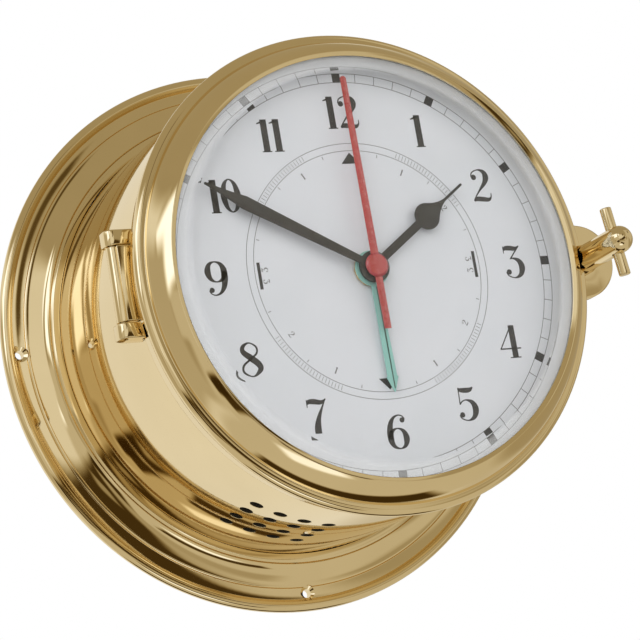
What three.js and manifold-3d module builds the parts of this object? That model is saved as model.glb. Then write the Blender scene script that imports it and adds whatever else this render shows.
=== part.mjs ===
// Ship's clock with a tide hand: a flanged brass case, a hinged bezel with bevelled glass,
// a thumbscrew that closes it, and a quartz movement that carries four coaxial hands.
// Millimetres. The wall is the plane y = 0, the dial faces -Y, 12 o'clock is +Z and 3 o'clock +X.
// A depth is the distance of a plane from the wall, so depth d lies at y = -d.
// Clock angles are in degrees, clockwise from 12 as seen from the front.

import * as THREE from 'three';
import { mergeVertices } from 'three/addons/utils/BufferGeometryUtils.js';
import Module from 'manifold-3d';

const wasm = await Module();
wasm.setup();

// Facets of round pieces
const RING_SIDES = 36;
const ROUND_SIDES = 16;
const SMALL_SIDES = 12;
const BORE_SIDES = 8;
const FLUTE_SIDES = 6;
const EAR_STEPS = 12;
const BEAD_STEPS = 5;
const CURVE_STEPS = 4;
const CORNER_STEPS = 3;

// Clearances, how far a cutting tool reaches past a face, and how finely points are merged
const SEAT_GAP = 0.25;
const TURN_GAP = 0.3;
const OVERCUT = 1;
const MERGE_DISTANCE = 1e-4;

// Case drum
const DRUM_RADIUS = 72;
const DRUM_WALL = 1.6;
const DRUM_FOOT_DEPTH = 0.6;
const DRUM_MOUTH_DEPTH = 73.2;

// Vent holes in the drum, a rectangular field near 6 o'clock
const VENT_RADIUS = 2.1;
const VENT_PITCH = 8;
const VENT_ROWS = 4;
const VENT_COLUMNS = 4;
const VENT_ANGLE = 200;
const VENT_FRONT_DEPTH = 53.9;

// Base flange: rim bead, screw channel, inner bead, cove and foot step
const FLANGE_WIDTH = 18;
const RIM_BEAD_RADIUS = 2;
const RIM_BEAD_DEPTH = 3.3;
const CHANNEL_WIDTH = 3.5;
const CHANNEL_DEPTH = 3.7;
const INNER_BEAD_RADIUS = 1;
const COVE_RISE = 1.4;
const FOOT_WIDTH = 2.8;
const FOOT_DEPTH = 8.2;
const FOOT_CHAMFER = 0.7;
const SCREW_HOLE_RADIUS = 1.4;
const SCREW_HOLE_COUNT = 4;
const COUNTERSINK_RADIUS = 2.5;
const COUNTERSINK_DEPTH = 0.8;

// Ring that carries the dial in the mouth of the drum
const SEAT_WALL = 2;
const SEAT_HOLD_LENGTH = 11;
const SEAT_STEP = 2.1;
const SEAT_SHELF_WIDTH = 8;
const SEAT_SHELF_THICKNESS = 1.6;

// Dial plate, with feet pushed through the seat's shelf
const DIAL_LEAD = 8.9;
const DIAL_THICKNESS = 1;
const DIAL_OVERHANG = 0.2;
const DIAL_FOOT_RADIUS = 0.9;
const DIAL_FOOT_LENGTH = 5;
const DIAL_FOOT_COUNT = 3;
const DIAL_FOOT_ANGLE = 60;
const CLIP_RADIUS = 2.6;
const CLIP_THICKNESS = 0.8;

// Bezel: skirt, bead, sloping convex face and lip
const BEZEL_SEAM = 0.6;
const SKIRT_STEP = 0.6;
const SKIRT_LENGTH = 6.4;
const SKIRT_WALL = 2.6;
const BEZEL_BEAD_RADIUS = 2;
const BEZEL_BEAD_RISE = 0.3;
const GROOVE_DROP = 0.7;
const FACE_BULGE = 0.9;
const LIP_REACH = 7.6;
const LIP_THICKNESS = 1.2;
const LIP_CREST_WIDTH = 1.3;

// Bevelled glass, its gasket and its snap ring
const GLASS_CLEARANCE = 0.5;
const GLASS_THICKNESS = 3.6;
const GLASS_RIM_THICKNESS = 1.8;
const GLASS_OVERLAP = 2;
const BEVEL_WIDTH = 4.8;
const GASKET_THICKNESS = 0.7;
const GASKET_WIDTH = 1.3;
const SNAP_RING_THICKNESS = 1;
const SNAP_GROOVE = 0.9;
const SNAP_RING_SPLIT = 5;

// Ear on the bezel and lug on the drum for the thumbscrew, at 3 o'clock
const EAR_RADIUS = 11.8;
const EAR_THICKNESS = 5;
const EAR_FILLET = 8;
const EAR_LIFT = 0.8;
const LUG_RADIUS = 10.5;
const LUG_THICKNESS = 8;

// Thumbscrew with its cross bar, sliding washer and clip
const SHANK_RADIUS = 2.5;
const EAR_CLEARANCE = 0.4;
const LUG_CLEARANCE = 0.7;
const SHANK_TIP_LENGTH = 10.5;
const COLLAR_WIDTH = 2.2;
const COLLAR_THICKNESS = 1.1;
const HEAD_RADIUS = 4.2;
const HEAD_LENGTH = 25.6;
const TIP_CHAMFER = 1;
const HEAD_NECK = 1;
const CROSS_BAR_SETBACK = 2.4;
const CROSS_BAR_RADIUS = 1.8;
const CROSS_BAR_LENGTH = 21.6;
const CROSS_BAR_TILT = -6.9;
const WASHER_THICKNESS = 0.8;
const SCREW_CLIP_WIDTH = 1.2;
const SCREW_CLIP_THICKNESS = 0.7;
const SCREW_TRAVEL = 4;

// Hinge at 9 o'clock
const HINGE_OFFSET = 4.8;
const HINGE_LEAD = 0.8;
const HINGE_HEIGHT = 32.6;
const HINGE_RISE = 2;
const HINGE_LUG_HEIGHT = 4.7;
const HINGE_EYE_RADIUS = 2.6;
const KNUCKLE_RADIUS = 2.1;
const HINGE_PIN_RADIUS = 1;
const HINGE_LUG_LENGTH = 7.4;
const LEAF_THICKNESS = 2.6;
const LEAF_SETBACK = 0.5;

// Hands: the gap behind each plate, the angle it shows, and its shape
const HAND_THICKNESS = 0.4;
const TIDE_HAND_GAP = 0.4;
const HOUR_HAND_GAP = 0.6;
const MINUTE_HAND_GAP = 0.7;
const SECOND_HAND_GAP = 1.2;
const TIDE_HAND_ANGLE = 179;
const HOUR_HAND_ANGLE = 54.6;
const MINUTE_HAND_ANGLE = 299;
const SECOND_HAND_ANGLE = -0.4;
const TIDE_HUB_RADIUS = 5.5;
const HOUR_HUB_RADIUS = 4.6;
const MINUTE_HUB_RADIUS = 4.9;
const SECOND_HUB_RADIUS = 3.7;
const TIDE_HAND_LENGTH = 38.1;
const TIDE_HEAD_LENGTH = 4.8;
const TIDE_HEAD_WIDTH = 4;
const TIDE_STEM_WIDTH = 2.5;
const HOUR_HAND_LENGTH = 42.8;
const SPADE_CENTRE = 26;
const SPADE_RADIUS = 4.2;
const SPADE_NECK = 34.4;
const SPADE_START = -50;
const SPADE_END = 40;
const SPADE_SWEEP = 2.5;
const HOUR_STEM_WIDTH = 2.6;
const HOUR_TIP_WIDTH = 0.9;
const MINUTE_TIP_MARGIN = 7.1;
const MINUTE_SHOULDER = 44.4;
const MINUTE_SHOULDER_WIDTH = 4.3;
const MINUTE_ROOT_WIDTH = 2.4;
const MINUTE_TIP_WIDTH = 0.8;
const SECOND_TIP_MARGIN = 5.6;
const SECOND_TAIL_LENGTH = 19.5;
const SECOND_TIP_WIDTH = 2;
const SECOND_ROOT_WIDTH = 2.6;
const SECOND_TAIL_WIDTH = 2.2;
const SECOND_CAP_THICKNESS = 0.5;
const SECOND_CAP_BEVEL = 0.75;

// Coaxial arbor, pipes and centre bush
const SECOND_ARBOR_RADIUS = 0.4;
const PIPE_WALL = 0.45;
const BUSH_WALL = 0.85;
const NUT_RADIUS = 5.3;
const NUT_THICKNESS = 0.8;
const BUSH_FLANGE_RADIUS = 7;
const BUSH_FLANGE_THICKNESS = 1.2;

// Movement housing
const MOVEMENT_TOP = 28;
const MOVEMENT_BOTTOM = -38;
const MOVEMENT_DEPTH = 18;
const MOVEMENT_CORNER = 5;
const SHELL_WALL = 1.6;
const FRONT_SHELL_THICKNESS = 1.8;
const RUBBER_WASHER_RADIUS = 9;
const RUBBER_WASHER_THICKNESS = 0.6;

// Cell and its trough, open to the back
const CELL_RADIUS = 7.1;
const CELL_LENGTH = 49.2;
const CELL_NUB_RADIUS = 2.6;
const CELL_NUB_LENGTH = 1.2;
const CELL_GAP = 0.6;
const CONTACT_THICKNESS = 0.5;
const CONTACT_WIDTH = 9;
const CONTACT_ROOM = 3.6;

// Setting knobs on the back of the movement
const KNOB_RADIUS = 6;
const KNOB_THICKNESS = 4;
const KNOB_SPINDLE_RADIUS = 1.5;
const KNOB_FLUTES = 8;
const KNOB_FLUTE_RADIUS = 0.9;
const TIME_KNOB_PLACE = [15, 2];
const TIDE_KNOB_PLACE = [-15, 2];

// Wheels in the movement, one layer behind the other, counted from the front
const LAYER_PITCH = 1.5;
const WHEEL_THICKNESS = 1;
const TOOTH_TIP = 0.55;
const TOOTH_ROOT = 1;
const WHEEL_POST_RADIUS = 0.4;
const TIDE_LAYER = 0;
const TIDE_DRIVE_LAYER = 1;
const HOUR_LAYER = 2;
const CANNON_LAYER = 3;
const CENTRE_LAYER = 4;
const THIRD_LAYER = 5;
const SECOND_LAYER = 6;
const INTERMEDIATE_LAYER = 7;

// Motion work: the cannon pinion drives the hour wheel, and the hour pipe the tide wheel
const CANNON_TEETH = 8;
const MOTION_WHEEL_TEETH = 24;
const MOTION_PINION_TEETH = 8;
const HOUR_WHEEL_TEETH = 32;
const SETTING_TEETH = 8;
const TIDE_DRIVE_TEETH = 57;
const TIDE_IDLER_TEETH = 12;
const TIDE_WHEEL_TEETH = 59;
const MOTION_DISTANCE = 14;

// Going train: the rotor drives the second wheel, and the second pinion the centre wheel
const ROTOR_TEETH = 6;
const INTERMEDIATE_WHEEL_TEETH = 36;
const INTERMEDIATE_PINION_TEETH = 6;
const SECOND_WHEEL_TEETH = 30;
const SECOND_PINION_TEETH = 6;
const THIRD_WHEEL_TEETH = 45;
const THIRD_PINION_TEETH = 6;
const CENTRE_WHEEL_TEETH = 48;
const THIRD_DISTANCE = 13.5;
const THIRD_ANGLE = 0;
const INTERMEDIATE_DISTANCE = 9;
const INTERMEDIATE_ANGLE = 225;
const ROTOR_DISTANCE = 10.5;
const ROTOR_ANGLE = 256;

// Step motor: rotor magnet, stator plate, and a coil on the core that closes the plate
const MAGNET_RADIUS = 2.6;
const MAGNET_LENGTH = 4;
const ROTOR_AIR_GAP = 0.5;
const STATOR_THICKNESS = 0.8;
const STATOR_POLE_HALF = 5;
const STATOR_POLE_RISE = 5.9;
const STATOR_LIMB_BOTTOM = -8.2;
const STATOR_LIMB_TOP = -5.4;
const STATOR_RIGHT = 19;
const STATOR_FOOT_WIDTH = 4;
const CORE_WIDTH = 2.8;
const COIL_LEFT = 5;
const COIL_RIGHT = 14.2;
const COIL_RADIUS = 3.2;
const COIL_FLANGE = 0.8;
const WINDING_DROP = 0.4;
const BOBBIN_RADIUS = 2;
const COIL_CLEARANCE = 1.2;

// Circuit board with its crystal can, on bosses of the rear shell
const BOARD_LEFT = 20.5;
const BOARD_TOP = 12;
const BOARD_THICKNESS = 1;
const BOARD_LIFT = 2.4;
const CRYSTAL_RADIUS = 1;
const CRYSTAL_BOTTOM = -4;
const CRYSTAL_LENGTH = 6;
const BOSS_RADIUS = 1.5;
const BOSS_MARGIN = 3;

// Finishes
const BRASS = { color: 0xc9a24a, roughness: 0.14, metalness: 1 };
const GLASS = { color: 0xeef4f2, roughness: 0.03, metalness: 0 };
const RUBBER = { color: 0x1c1c1c, roughness: 0.8, metalness: 0 };
const STEEL = { color: 0xb9bcc0, roughness: 0.3, metalness: 1 };
const DIAL_WHITE = { color: 0xe9eaec, roughness: 0.5, metalness: 0 };
const HAND_BLACK = { color: 0x201f20, roughness: 0.45, metalness: 0 };
const HAND_RED = { color: 0xc9353c, roughness: 0.45, metalness: 0 };
const HAND_AQUA = { color: 0x8fd3c4, roughness: 0.4, metalness: 0 };
const BLACK_PLASTIC = { color: 0x232427, roughness: 0.55, metalness: 0 };
const GREY_PLASTIC = { color: 0x8d9094, roughness: 0.55, metalness: 0 };
const CELL_JACKET = { color: 0x5a6470, roughness: 0.35, metalness: 0.2 };
const NYLON = { color: 0xe6e2d6, roughness: 0.5, metalness: 0 };
const COPPER = { color: 0xb5672f, roughness: 0.35, metalness: 1 };
const BOARD_GREEN = { color: 0x2f6b46, roughness: 0.5, metalness: 0 };

const clock = new THREE.Group();

function addPiece(name, geometry, finish) {
  const mesh = new THREE.Mesh(geometry, new THREE.MeshStandardMaterial(finish));
  mesh.name = name;
  clock.add(mesh);
  return mesh;
}

// Solid work

function toSolid(geometry) {
  const bare = geometry.clone();
  bare.deleteAttribute('normal');
  bare.deleteAttribute('uv');
  const merged = mergeVertices(bare, MERGE_DISTANCE);
  return new wasm.Manifold(new wasm.Mesh({
    numProp: 3,
    vertProperties: new Float32Array(merged.attributes.position.array),
    triVerts: new Uint32Array(merged.index.array),
  }));
}

function toGeometry(solid) {
  const mesh = solid.getMesh();
  const geometry = new THREE.BufferGeometry();
  geometry.setAttribute('position', new THREE.BufferAttribute(new Float32Array(mesh.vertProperties), 3));
  geometry.setIndex(new THREE.BufferAttribute(new Uint32Array(mesh.triVerts), 1));
  geometry.computeVertexNormals();
  return geometry;
}

function join(...geometries) {
  return toGeometry(geometries.map(toSolid).reduce((whole, piece) => whole.add(piece)));
}

function cut(body, ...tools) {
  return toGeometry(tools.map(toSolid).reduce((rest, tool) => rest.subtract(tool), toSolid(body)));
}

// Outlines

function arcPoints(centreX, centreY, radius, startDegrees, endDegrees, steps) {
  return Array.from({ length: steps + 1 }, (_, i) => {
    const angle = THREE.MathUtils.degToRad(startDegrees + ((endDegrees - startDegrees) * i) / steps);
    return [centreX + radius * Math.cos(angle), centreY + radius * Math.sin(angle)];
  });
}

function curvePoints(start, control, end, steps) {
  const toVector = (point) => new THREE.Vector2(point[0], point[1]);
  const curve = new THREE.QuadraticBezierCurve(toVector(start), toVector(control), toVector(end));
  return curve.getPoints(steps).map((point) => [point.x, point.y]);
}

// Revolves a closed outline of [radius, depth] points about the clock's axis.
function turned(outline, sides = RING_SIDES) {
  const points = outline.map(([radius, depth]) => new THREE.Vector2(radius, -depth));
  if (THREE.ShapeUtils.area(points) < 0) points.reverse();
  return new THREE.LatheGeometry([...points, points[0].clone()], sides);
}

function ring(inner, outer, back, front, sides = RING_SIDES) {
  return turned([[inner, back], [outer, back], [outer, front], [inner, front]], sides);
}

function disc(radius, back, front, sides = RING_SIDES) {
  const rod = new THREE.CylinderGeometry(radius, radius, front - back, sides);
  return rod.translate(0, -(back + front) / 2, 0);
}

// Extrudes an outline drawn in the front view, [x, z], between two depths.
function plate(shape, back, front, curveSegments = ROUND_SIDES) {
  const settings = { depth: front - back, bevelEnabled: false, curveSegments };
  const geometry = new THREE.ExtrudeGeometry(shape, settings);
  return geometry.translate(0, 0, back).rotateX(Math.PI / 2);
}

// Extrudes an outline drawn in the view from above, [x, depth], between two heights.
function column(points, bottom, top) {
  const shape = new THREE.Shape(points.map(([x, depth]) => new THREE.Vector2(x, -depth)));
  const geometry = new THREE.ExtrudeGeometry(shape, { depth: top - bottom, bevelEnabled: false });
  return geometry.translate(0, 0, bottom);
}

function block(left, right, bottom, top, back, front) {
  const box = new THREE.BoxGeometry(right - left, front - back, top - bottom);
  return box.translate((left + right) / 2, -(back + front) / 2, (bottom + top) / 2);
}

function post(x, depth, bottom, top, radius, sides = ROUND_SIDES) {
  const rod = new THREE.CylinderGeometry(radius, radius, top - bottom, sides).rotateX(Math.PI / 2);
  return rod.translate(x, -depth, (bottom + top) / 2);
}

function polygonShape(points) {
  return new THREE.Shape(points.map(([x, z]) => new THREE.Vector2(x, z)));
}

function roundHole(shape, x, z, radius) {
  const hole = new THREE.Path();
  hole.absarc(x, z, radius, 0, 2 * Math.PI, true);
  shape.holes.push(hole);
}

function clockPoint(radius, degrees) {
  const angle = THREE.MathUtils.degToRad(degrees);
  return [radius * Math.sin(angle), radius * Math.cos(angle)];
}

function clockAngle([x, z]) {
  return THREE.MathUtils.radToDeg(Math.atan2(x, z));
}

function apart([fromX, fromZ], [toX, toZ]) {
  return [toX - fromX, toZ - fromZ];
}

// Places worked out from the driving dimensions
const DRUM_BORE = DRUM_RADIUS - DRUM_WALL;
const FLANGE_RADIUS = DRUM_RADIUS + FLANGE_WIDTH;
const CHANNEL_OUTER = FLANGE_RADIUS - 2 * RIM_BEAD_RADIUS;
const CHANNEL_INNER = CHANNEL_OUTER - CHANNEL_WIDTH;
const DIAL_DEPTH = DRUM_MOUTH_DEPTH + DIAL_LEAD;
const SEAT_FRONT = DIAL_DEPTH - DIAL_THICKNESS - SEAT_GAP;
const SEAT_RADIUS = DRUM_BORE - SEAT_STEP;
const SEAT_INNER = SEAT_RADIUS - SEAT_SHELF_WIDTH;
const DIAL_RADIUS = SEAT_RADIUS + DIAL_OVERHANG;
const DIAL_FOOT_CIRCLE = SEAT_INNER + CLIP_RADIUS;
const SKIRT_RADIUS = DRUM_RADIUS + SKIRT_STEP;
const SKIRT_BORE = SKIRT_RADIUS - SKIRT_WALL;
const SKIRT_BACK = DRUM_MOUTH_DEPTH + BEZEL_SEAM;
const SKIRT_FRONT = SKIRT_BACK + SKIRT_LENGTH;
const NUT_BACK = DIAL_DEPTH + SEAT_GAP;
const NUT_FRONT = NUT_BACK + NUT_THICKNESS;
const TIDE_HAND_BACK = NUT_FRONT + TIDE_HAND_GAP;
const HOUR_HAND_BACK = TIDE_HAND_BACK + HAND_THICKNESS + HOUR_HAND_GAP;
const MINUTE_HAND_BACK = HOUR_HAND_BACK + HAND_THICKNESS + MINUTE_HAND_GAP;
const SECOND_HAND_BACK = MINUTE_HAND_BACK + HAND_THICKNESS + SECOND_HAND_GAP;
const SECOND_CAP_BACK = SECOND_HAND_BACK + HAND_THICKNESS + SEAT_GAP;
const SECOND_CAP_FRONT = SECOND_CAP_BACK + SECOND_CAP_THICKNESS;
const GLASS_BACK = SECOND_CAP_FRONT + GLASS_CLEARANCE;
const LIP_RADIUS = SKIRT_RADIUS - LIP_REACH;
const MINUTE_HAND_LENGTH = LIP_RADIUS - MINUTE_TIP_MARGIN;
const SECOND_HAND_LENGTH = LIP_RADIUS - SECOND_TIP_MARGIN;
const GLASS_RADIUS = LIP_RADIUS + GLASS_OVERLAP;
const GLASS_BORE = GLASS_RADIUS + SEAT_GAP;
const LIP_BACK = GLASS_BACK + GLASS_RIM_THICKNESS + SEAT_GAP;
const LIP_FRONT = LIP_BACK + LIP_THICKNESS;
const COLLAR_RADIUS = SHANK_RADIUS + COLLAR_WIDTH;
const SCREW_CLIP_RADIUS = SHANK_RADIUS + SCREW_CLIP_WIDTH;
const SCREW_X = DRUM_RADIUS + SCREW_CLIP_RADIUS + TURN_GAP;
const EAR_BACK = SKIRT_BACK + EAR_LIFT;
const EAR_FRONT = EAR_BACK + EAR_THICKNESS;
const WASHER_FRONT = EAR_FRONT + SEAT_GAP + WASHER_THICKNESS;
const COLLAR_BACK = WASHER_FRONT + SEAT_GAP;
const COLLAR_FRONT = COLLAR_BACK + COLLAR_THICKNESS;
const SCREW_CLIP_FRONT = SKIRT_BACK - SEAT_GAP - SCREW_TRAVEL;
const SCREW_CLIP_BACK = SCREW_CLIP_FRONT - SCREW_CLIP_THICKNESS;
const HINGE_X = -(DRUM_RADIUS + HINGE_OFFSET);
const HINGE_DEPTH = DRUM_MOUTH_DEPTH + HINGE_LEAD;
const MOVEMENT_FRONT = SEAT_FRONT + SEAT_GAP - RUBBER_WASHER_THICKNESS - 2 * SEAT_GAP;
const MOVEMENT_BACK = MOVEMENT_FRONT - MOVEMENT_DEPTH;
const FRONT_SHELL_BACK = MOVEMENT_FRONT - FRONT_SHELL_THICKNESS;
const MINUTE_PIPE_BORE = SECOND_ARBOR_RADIUS + TURN_GAP;
const MINUTE_PIPE_RADIUS = MINUTE_PIPE_BORE + PIPE_WALL;
const HOUR_PIPE_BORE = MINUTE_PIPE_RADIUS + TURN_GAP;
const HOUR_PIPE_RADIUS = HOUR_PIPE_BORE + PIPE_WALL;
const TIDE_PIPE_BORE = HOUR_PIPE_RADIUS + TURN_GAP;
const TIDE_PIPE_RADIUS = TIDE_PIPE_BORE + PIPE_WALL;
const BUSH_BORE = TIDE_PIPE_RADIUS + TURN_GAP;
const BUSH_RADIUS = BUSH_BORE + BUSH_WALL;
const MOVEMENT_WIDTH = CELL_LENGTH + 2 * (CELL_NUB_LENGTH + CONTACT_ROOM + SHELL_WALL);
const REAR_SHELL_FRONT = FRONT_SHELL_BACK - SEAT_GAP;
const INNER_HALF = MOVEMENT_WIDTH / 2 - SHELL_WALL;
const TROUGH_BOTTOM = MOVEMENT_BOTTOM + SHELL_WALL;
const TROUGH_TOP = TROUGH_BOTTOM + 2 * (CELL_RADIUS + CELL_GAP);
const CAVITY_BOTTOM = TROUGH_TOP + SHELL_WALL;
const CAVITY_BACK = MOVEMENT_BACK + SHELL_WALL;
const TRAIN_FRONT = REAR_SHELL_FRONT - BUSH_FLANGE_THICKNESS - 2 * SEAT_GAP;

const layerFront = (layer) => TRAIN_FRONT - LAYER_PITCH * layer;
const layerBack = (layer) => layerFront(layer) - WHEEL_THICKNESS;

// Base flange
const flangeOutline = [
  [DRUM_RADIUS + SEAT_GAP, 0],
  [FLANGE_RADIUS - RIM_BEAD_RADIUS, 0],
  ...arcPoints(FLANGE_RADIUS - RIM_BEAD_RADIUS, RIM_BEAD_DEPTH, RIM_BEAD_RADIUS, -60, 150, BEAD_STEPS),
  [CHANNEL_OUTER, CHANNEL_DEPTH],
  ...arcPoints(CHANNEL_INNER - INNER_BEAD_RADIUS, CHANNEL_DEPTH, INNER_BEAD_RADIUS, 0, 90, CORNER_STEPS),
  ...curvePoints(
    [CHANNEL_INNER - INNER_BEAD_RADIUS, CHANNEL_DEPTH + INNER_BEAD_RADIUS],
    [DRUM_RADIUS + FOOT_WIDTH, CHANNEL_DEPTH + INNER_BEAD_RADIUS + COVE_RISE],
    [DRUM_RADIUS + FOOT_WIDTH, FOOT_DEPTH],
    CORNER_STEPS,
  ).slice(1),
  [DRUM_RADIUS + FOOT_WIDTH - FOOT_CHAMFER, FOOT_DEPTH + FOOT_CHAMFER],
  [DRUM_RADIUS + SEAT_GAP, FOOT_DEPTH + FOOT_CHAMFER],
];
const screwHoles = Array.from({ length: SCREW_HOLE_COUNT }, (_, i) => {
  const [x, z] = clockPoint((CHANNEL_OUTER + CHANNEL_INNER) / 2, (360 / SCREW_HOLE_COUNT) * i);
  const top = CHANNEL_DEPTH + RIM_BEAD_RADIUS;
  const hole = turned([
    [0, -OVERCUT],
    [SCREW_HOLE_RADIUS, -OVERCUT],
    [SCREW_HOLE_RADIUS, CHANNEL_DEPTH - COUNTERSINK_DEPTH],
    [COUNTERSINK_RADIUS, CHANNEL_DEPTH],
    [COUNTERSINK_RADIUS, top],
    [0, top],
  ], SMALL_SIDES);
  return hole.translate(x, 0, z);
});
addPiece('base_flange', cut(turned(flangeOutline), ...screwHoles), BRASS);

// Case drum with its field of vents
const vents = [];
for (let row = 0; row < VENT_ROWS; row += 1) {
  for (let columnIndex = 0; columnIndex < VENT_COLUMNS; columnIndex += 1) {
    const spread = (columnIndex - (VENT_COLUMNS - 1) / 2) * VENT_PITCH;
    const turn = THREE.MathUtils.degToRad(VENT_ANGLE) + spread / DRUM_RADIUS;
    const depth = VENT_FRONT_DEPTH - row * VENT_PITCH;
    const drill = post(0, depth, DRUM_BORE - OVERCUT, DRUM_RADIUS + OVERCUT, VENT_RADIUS, BORE_SIDES);
    vents.push(drill.rotateY(turn));
  }
}
const drumTube = ring(DRUM_BORE, DRUM_RADIUS, DRUM_FOOT_DEPTH, DRUM_MOUTH_DEPTH);
addPiece('case_drum', cut(drumTube, ...vents), BRASS);

// Dial seat, dial plate and its clips
const dialFeet = Array.from({ length: DIAL_FOOT_COUNT }, (_, i) => (
  clockPoint(DIAL_FOOT_CIRCLE, DIAL_FOOT_ANGLE + (360 / DIAL_FOOT_COUNT) * i)
));
const seatHoldRadius = DRUM_BORE - SEAT_GAP;
const seatBack = DRUM_MOUTH_DEPTH - SEAT_HOLD_LENGTH;
const seatOutline = [
  [SEAT_RADIUS - SEAT_WALL, seatBack],
  [seatHoldRadius, seatBack],
  [seatHoldRadius, DRUM_MOUTH_DEPTH],
  [SEAT_RADIUS, DRUM_MOUTH_DEPTH],
  [SEAT_RADIUS, SEAT_FRONT],
  [SEAT_INNER, SEAT_FRONT],
  [SEAT_INNER, SEAT_FRONT - SEAT_SHELF_THICKNESS],
  [SEAT_RADIUS - SEAT_WALL, SEAT_FRONT - SEAT_SHELF_THICKNESS],
];
const footBack = DIAL_DEPTH - DIAL_THICKNESS - DIAL_FOOT_LENGTH;
const footHoles = dialFeet.map(([x, z]) => (
  disc(DIAL_FOOT_RADIUS + TURN_GAP, footBack, DIAL_DEPTH, BORE_SIDES).translate(x, 0, z)
));
addPiece('dial_seat_ring', cut(turned(seatOutline), ...footHoles), BRASS);

const dialFace = ring(BUSH_RADIUS + SEAT_GAP, DIAL_RADIUS, DIAL_DEPTH - DIAL_THICKNESS, DIAL_DEPTH);
const feet = dialFeet.map(([x, z]) => (
  disc(DIAL_FOOT_RADIUS, footBack, DIAL_DEPTH - DIAL_THICKNESS / 2, BORE_SIDES).translate(x, 0, z)
));
addPiece('dial_plate', join(dialFace, ...feet), DIAL_WHITE);

const clipFront = SEAT_FRONT - SEAT_SHELF_THICKNESS - SEAT_GAP;
dialFeet.forEach(([x, z], i) => {
  const clipBack = clipFront - CLIP_THICKNESS;
  const clip = ring(DIAL_FOOT_RADIUS + SEAT_GAP, CLIP_RADIUS, clipBack, clipFront, BORE_SIDES);
  addPiece(`dial_foot_clip_${i + 1}`, clip.translate(x, 0, z), STEEL);
});

// Bezel ring with its ear
const beadRadius = SKIRT_RADIUS + BEZEL_BEAD_RISE;
const beadDepth = SKIRT_FRONT + BEZEL_BEAD_RADIUS;
const grooveRadius = SKIRT_RADIUS - GROOVE_DROP;
const grooveDepth = beadDepth + BEZEL_BEAD_RADIUS;
const crestRadius = LIP_RADIUS + LIP_CREST_WIDTH;
const faceLength = Math.hypot(grooveRadius - crestRadius, LIP_FRONT - grooveDepth);
const faceControl = [
  (grooveRadius + crestRadius) / 2 + (2 * FACE_BULGE * (LIP_FRONT - grooveDepth)) / faceLength,
  (grooveDepth + LIP_FRONT) / 2 + (2 * FACE_BULGE * (grooveRadius - crestRadius)) / faceLength,
];
const snapFront = GLASS_BACK - GASKET_THICKNESS - 2 * SEAT_GAP;
const snapBack = snapFront - SNAP_RING_THICKNESS;
const bezelOutline = [
  [SKIRT_BORE, SKIRT_BACK],
  [SKIRT_RADIUS, SKIRT_BACK],
  [SKIRT_RADIUS, SKIRT_FRONT],
  ...arcPoints(beadRadius, beadDepth, BEZEL_BEAD_RADIUS, -90, 90, BEAD_STEPS),
  ...curvePoints([grooveRadius, grooveDepth], faceControl, [crestRadius, LIP_FRONT], CURVE_STEPS),
  [LIP_RADIUS, LIP_FRONT - LIP_THICKNESS / 2],
  [LIP_RADIUS, LIP_BACK],
  [GLASS_BORE, LIP_BACK],
  [GLASS_BORE, snapFront + SEAT_GAP],
  [GLASS_BORE + SNAP_GROOVE, snapFront + SEAT_GAP],
  [GLASS_BORE + SNAP_GROOVE, snapBack - SEAT_GAP],
  [GLASS_BORE, snapBack - SEAT_GAP],
  [SKIRT_BORE, snapBack - SEAT_GAP - (SKIRT_BORE - GLASS_BORE)],
];

// Outline of a round ear that flows into a ring with concave fillets
function earShape(ringRadius, centreX, earRadius, fillet) {
  const reach = ringRadius + fillet;
  const span = earRadius + fillet;
  const filletX = (centreX ** 2 + reach ** 2 - span ** 2) / (2 * centreX);
  const filletZ = Math.sqrt(reach ** 2 - filletX ** 2);
  const toDegrees = (z, x) => THREE.MathUtils.radToDeg(Math.atan2(z, x));
  const onRing = toDegrees(filletZ, filletX);
  const onEar = toDegrees(filletZ, filletX - centreX);
  const upper = arcPoints(filletX, filletZ, fillet, onEar - 180, onRing - 180, CURVE_STEPS);
  const lower = upper.map(([x, z]) => [x, -z]).reverse();
  const inset = DRUM_RADIUS - SKIRT_WALL / 2;
  const [rootZ, rootX] = clockPoint(inset, onRing);
  return polygonShape([
    [rootX, -rootZ],
    ...lower,
    ...arcPoints(centreX, 0, earRadius, -onEar, onEar, EAR_STEPS).slice(1, -1),
    ...upper,
    [rootX, rootZ],
  ]);
}
const earOutline = earShape(SKIRT_RADIUS + BEZEL_BEAD_RISE, SCREW_X, EAR_RADIUS, EAR_FILLET);
const ear = plate(earOutline, EAR_BACK, EAR_FRONT);
const earCore = disc(SKIRT_BORE + SKIRT_WALL / 2, EAR_BACK - OVERCUT, EAR_FRONT + OVERCUT);
const earHole = disc(SHANK_RADIUS + EAR_CLEARANCE, EAR_BACK - OVERCUT, EAR_FRONT + OVERCUT, ROUND_SIDES);
const reliefFront = COLLAR_FRONT + SCREW_TRAVEL + OVERCUT;
const collarRelief = disc(COLLAR_RADIUS + EAR_CLEARANCE, EAR_FRONT, reliefFront, ROUND_SIDES);
const earCuts = [earHole, collarRelief].map((tool) => tool.translate(SCREW_X, 0, 0));
addPiece('bezel_ring', cut(join(turned(bezelOutline), cut(ear, earCore)), ...earCuts), BRASS);

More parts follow.
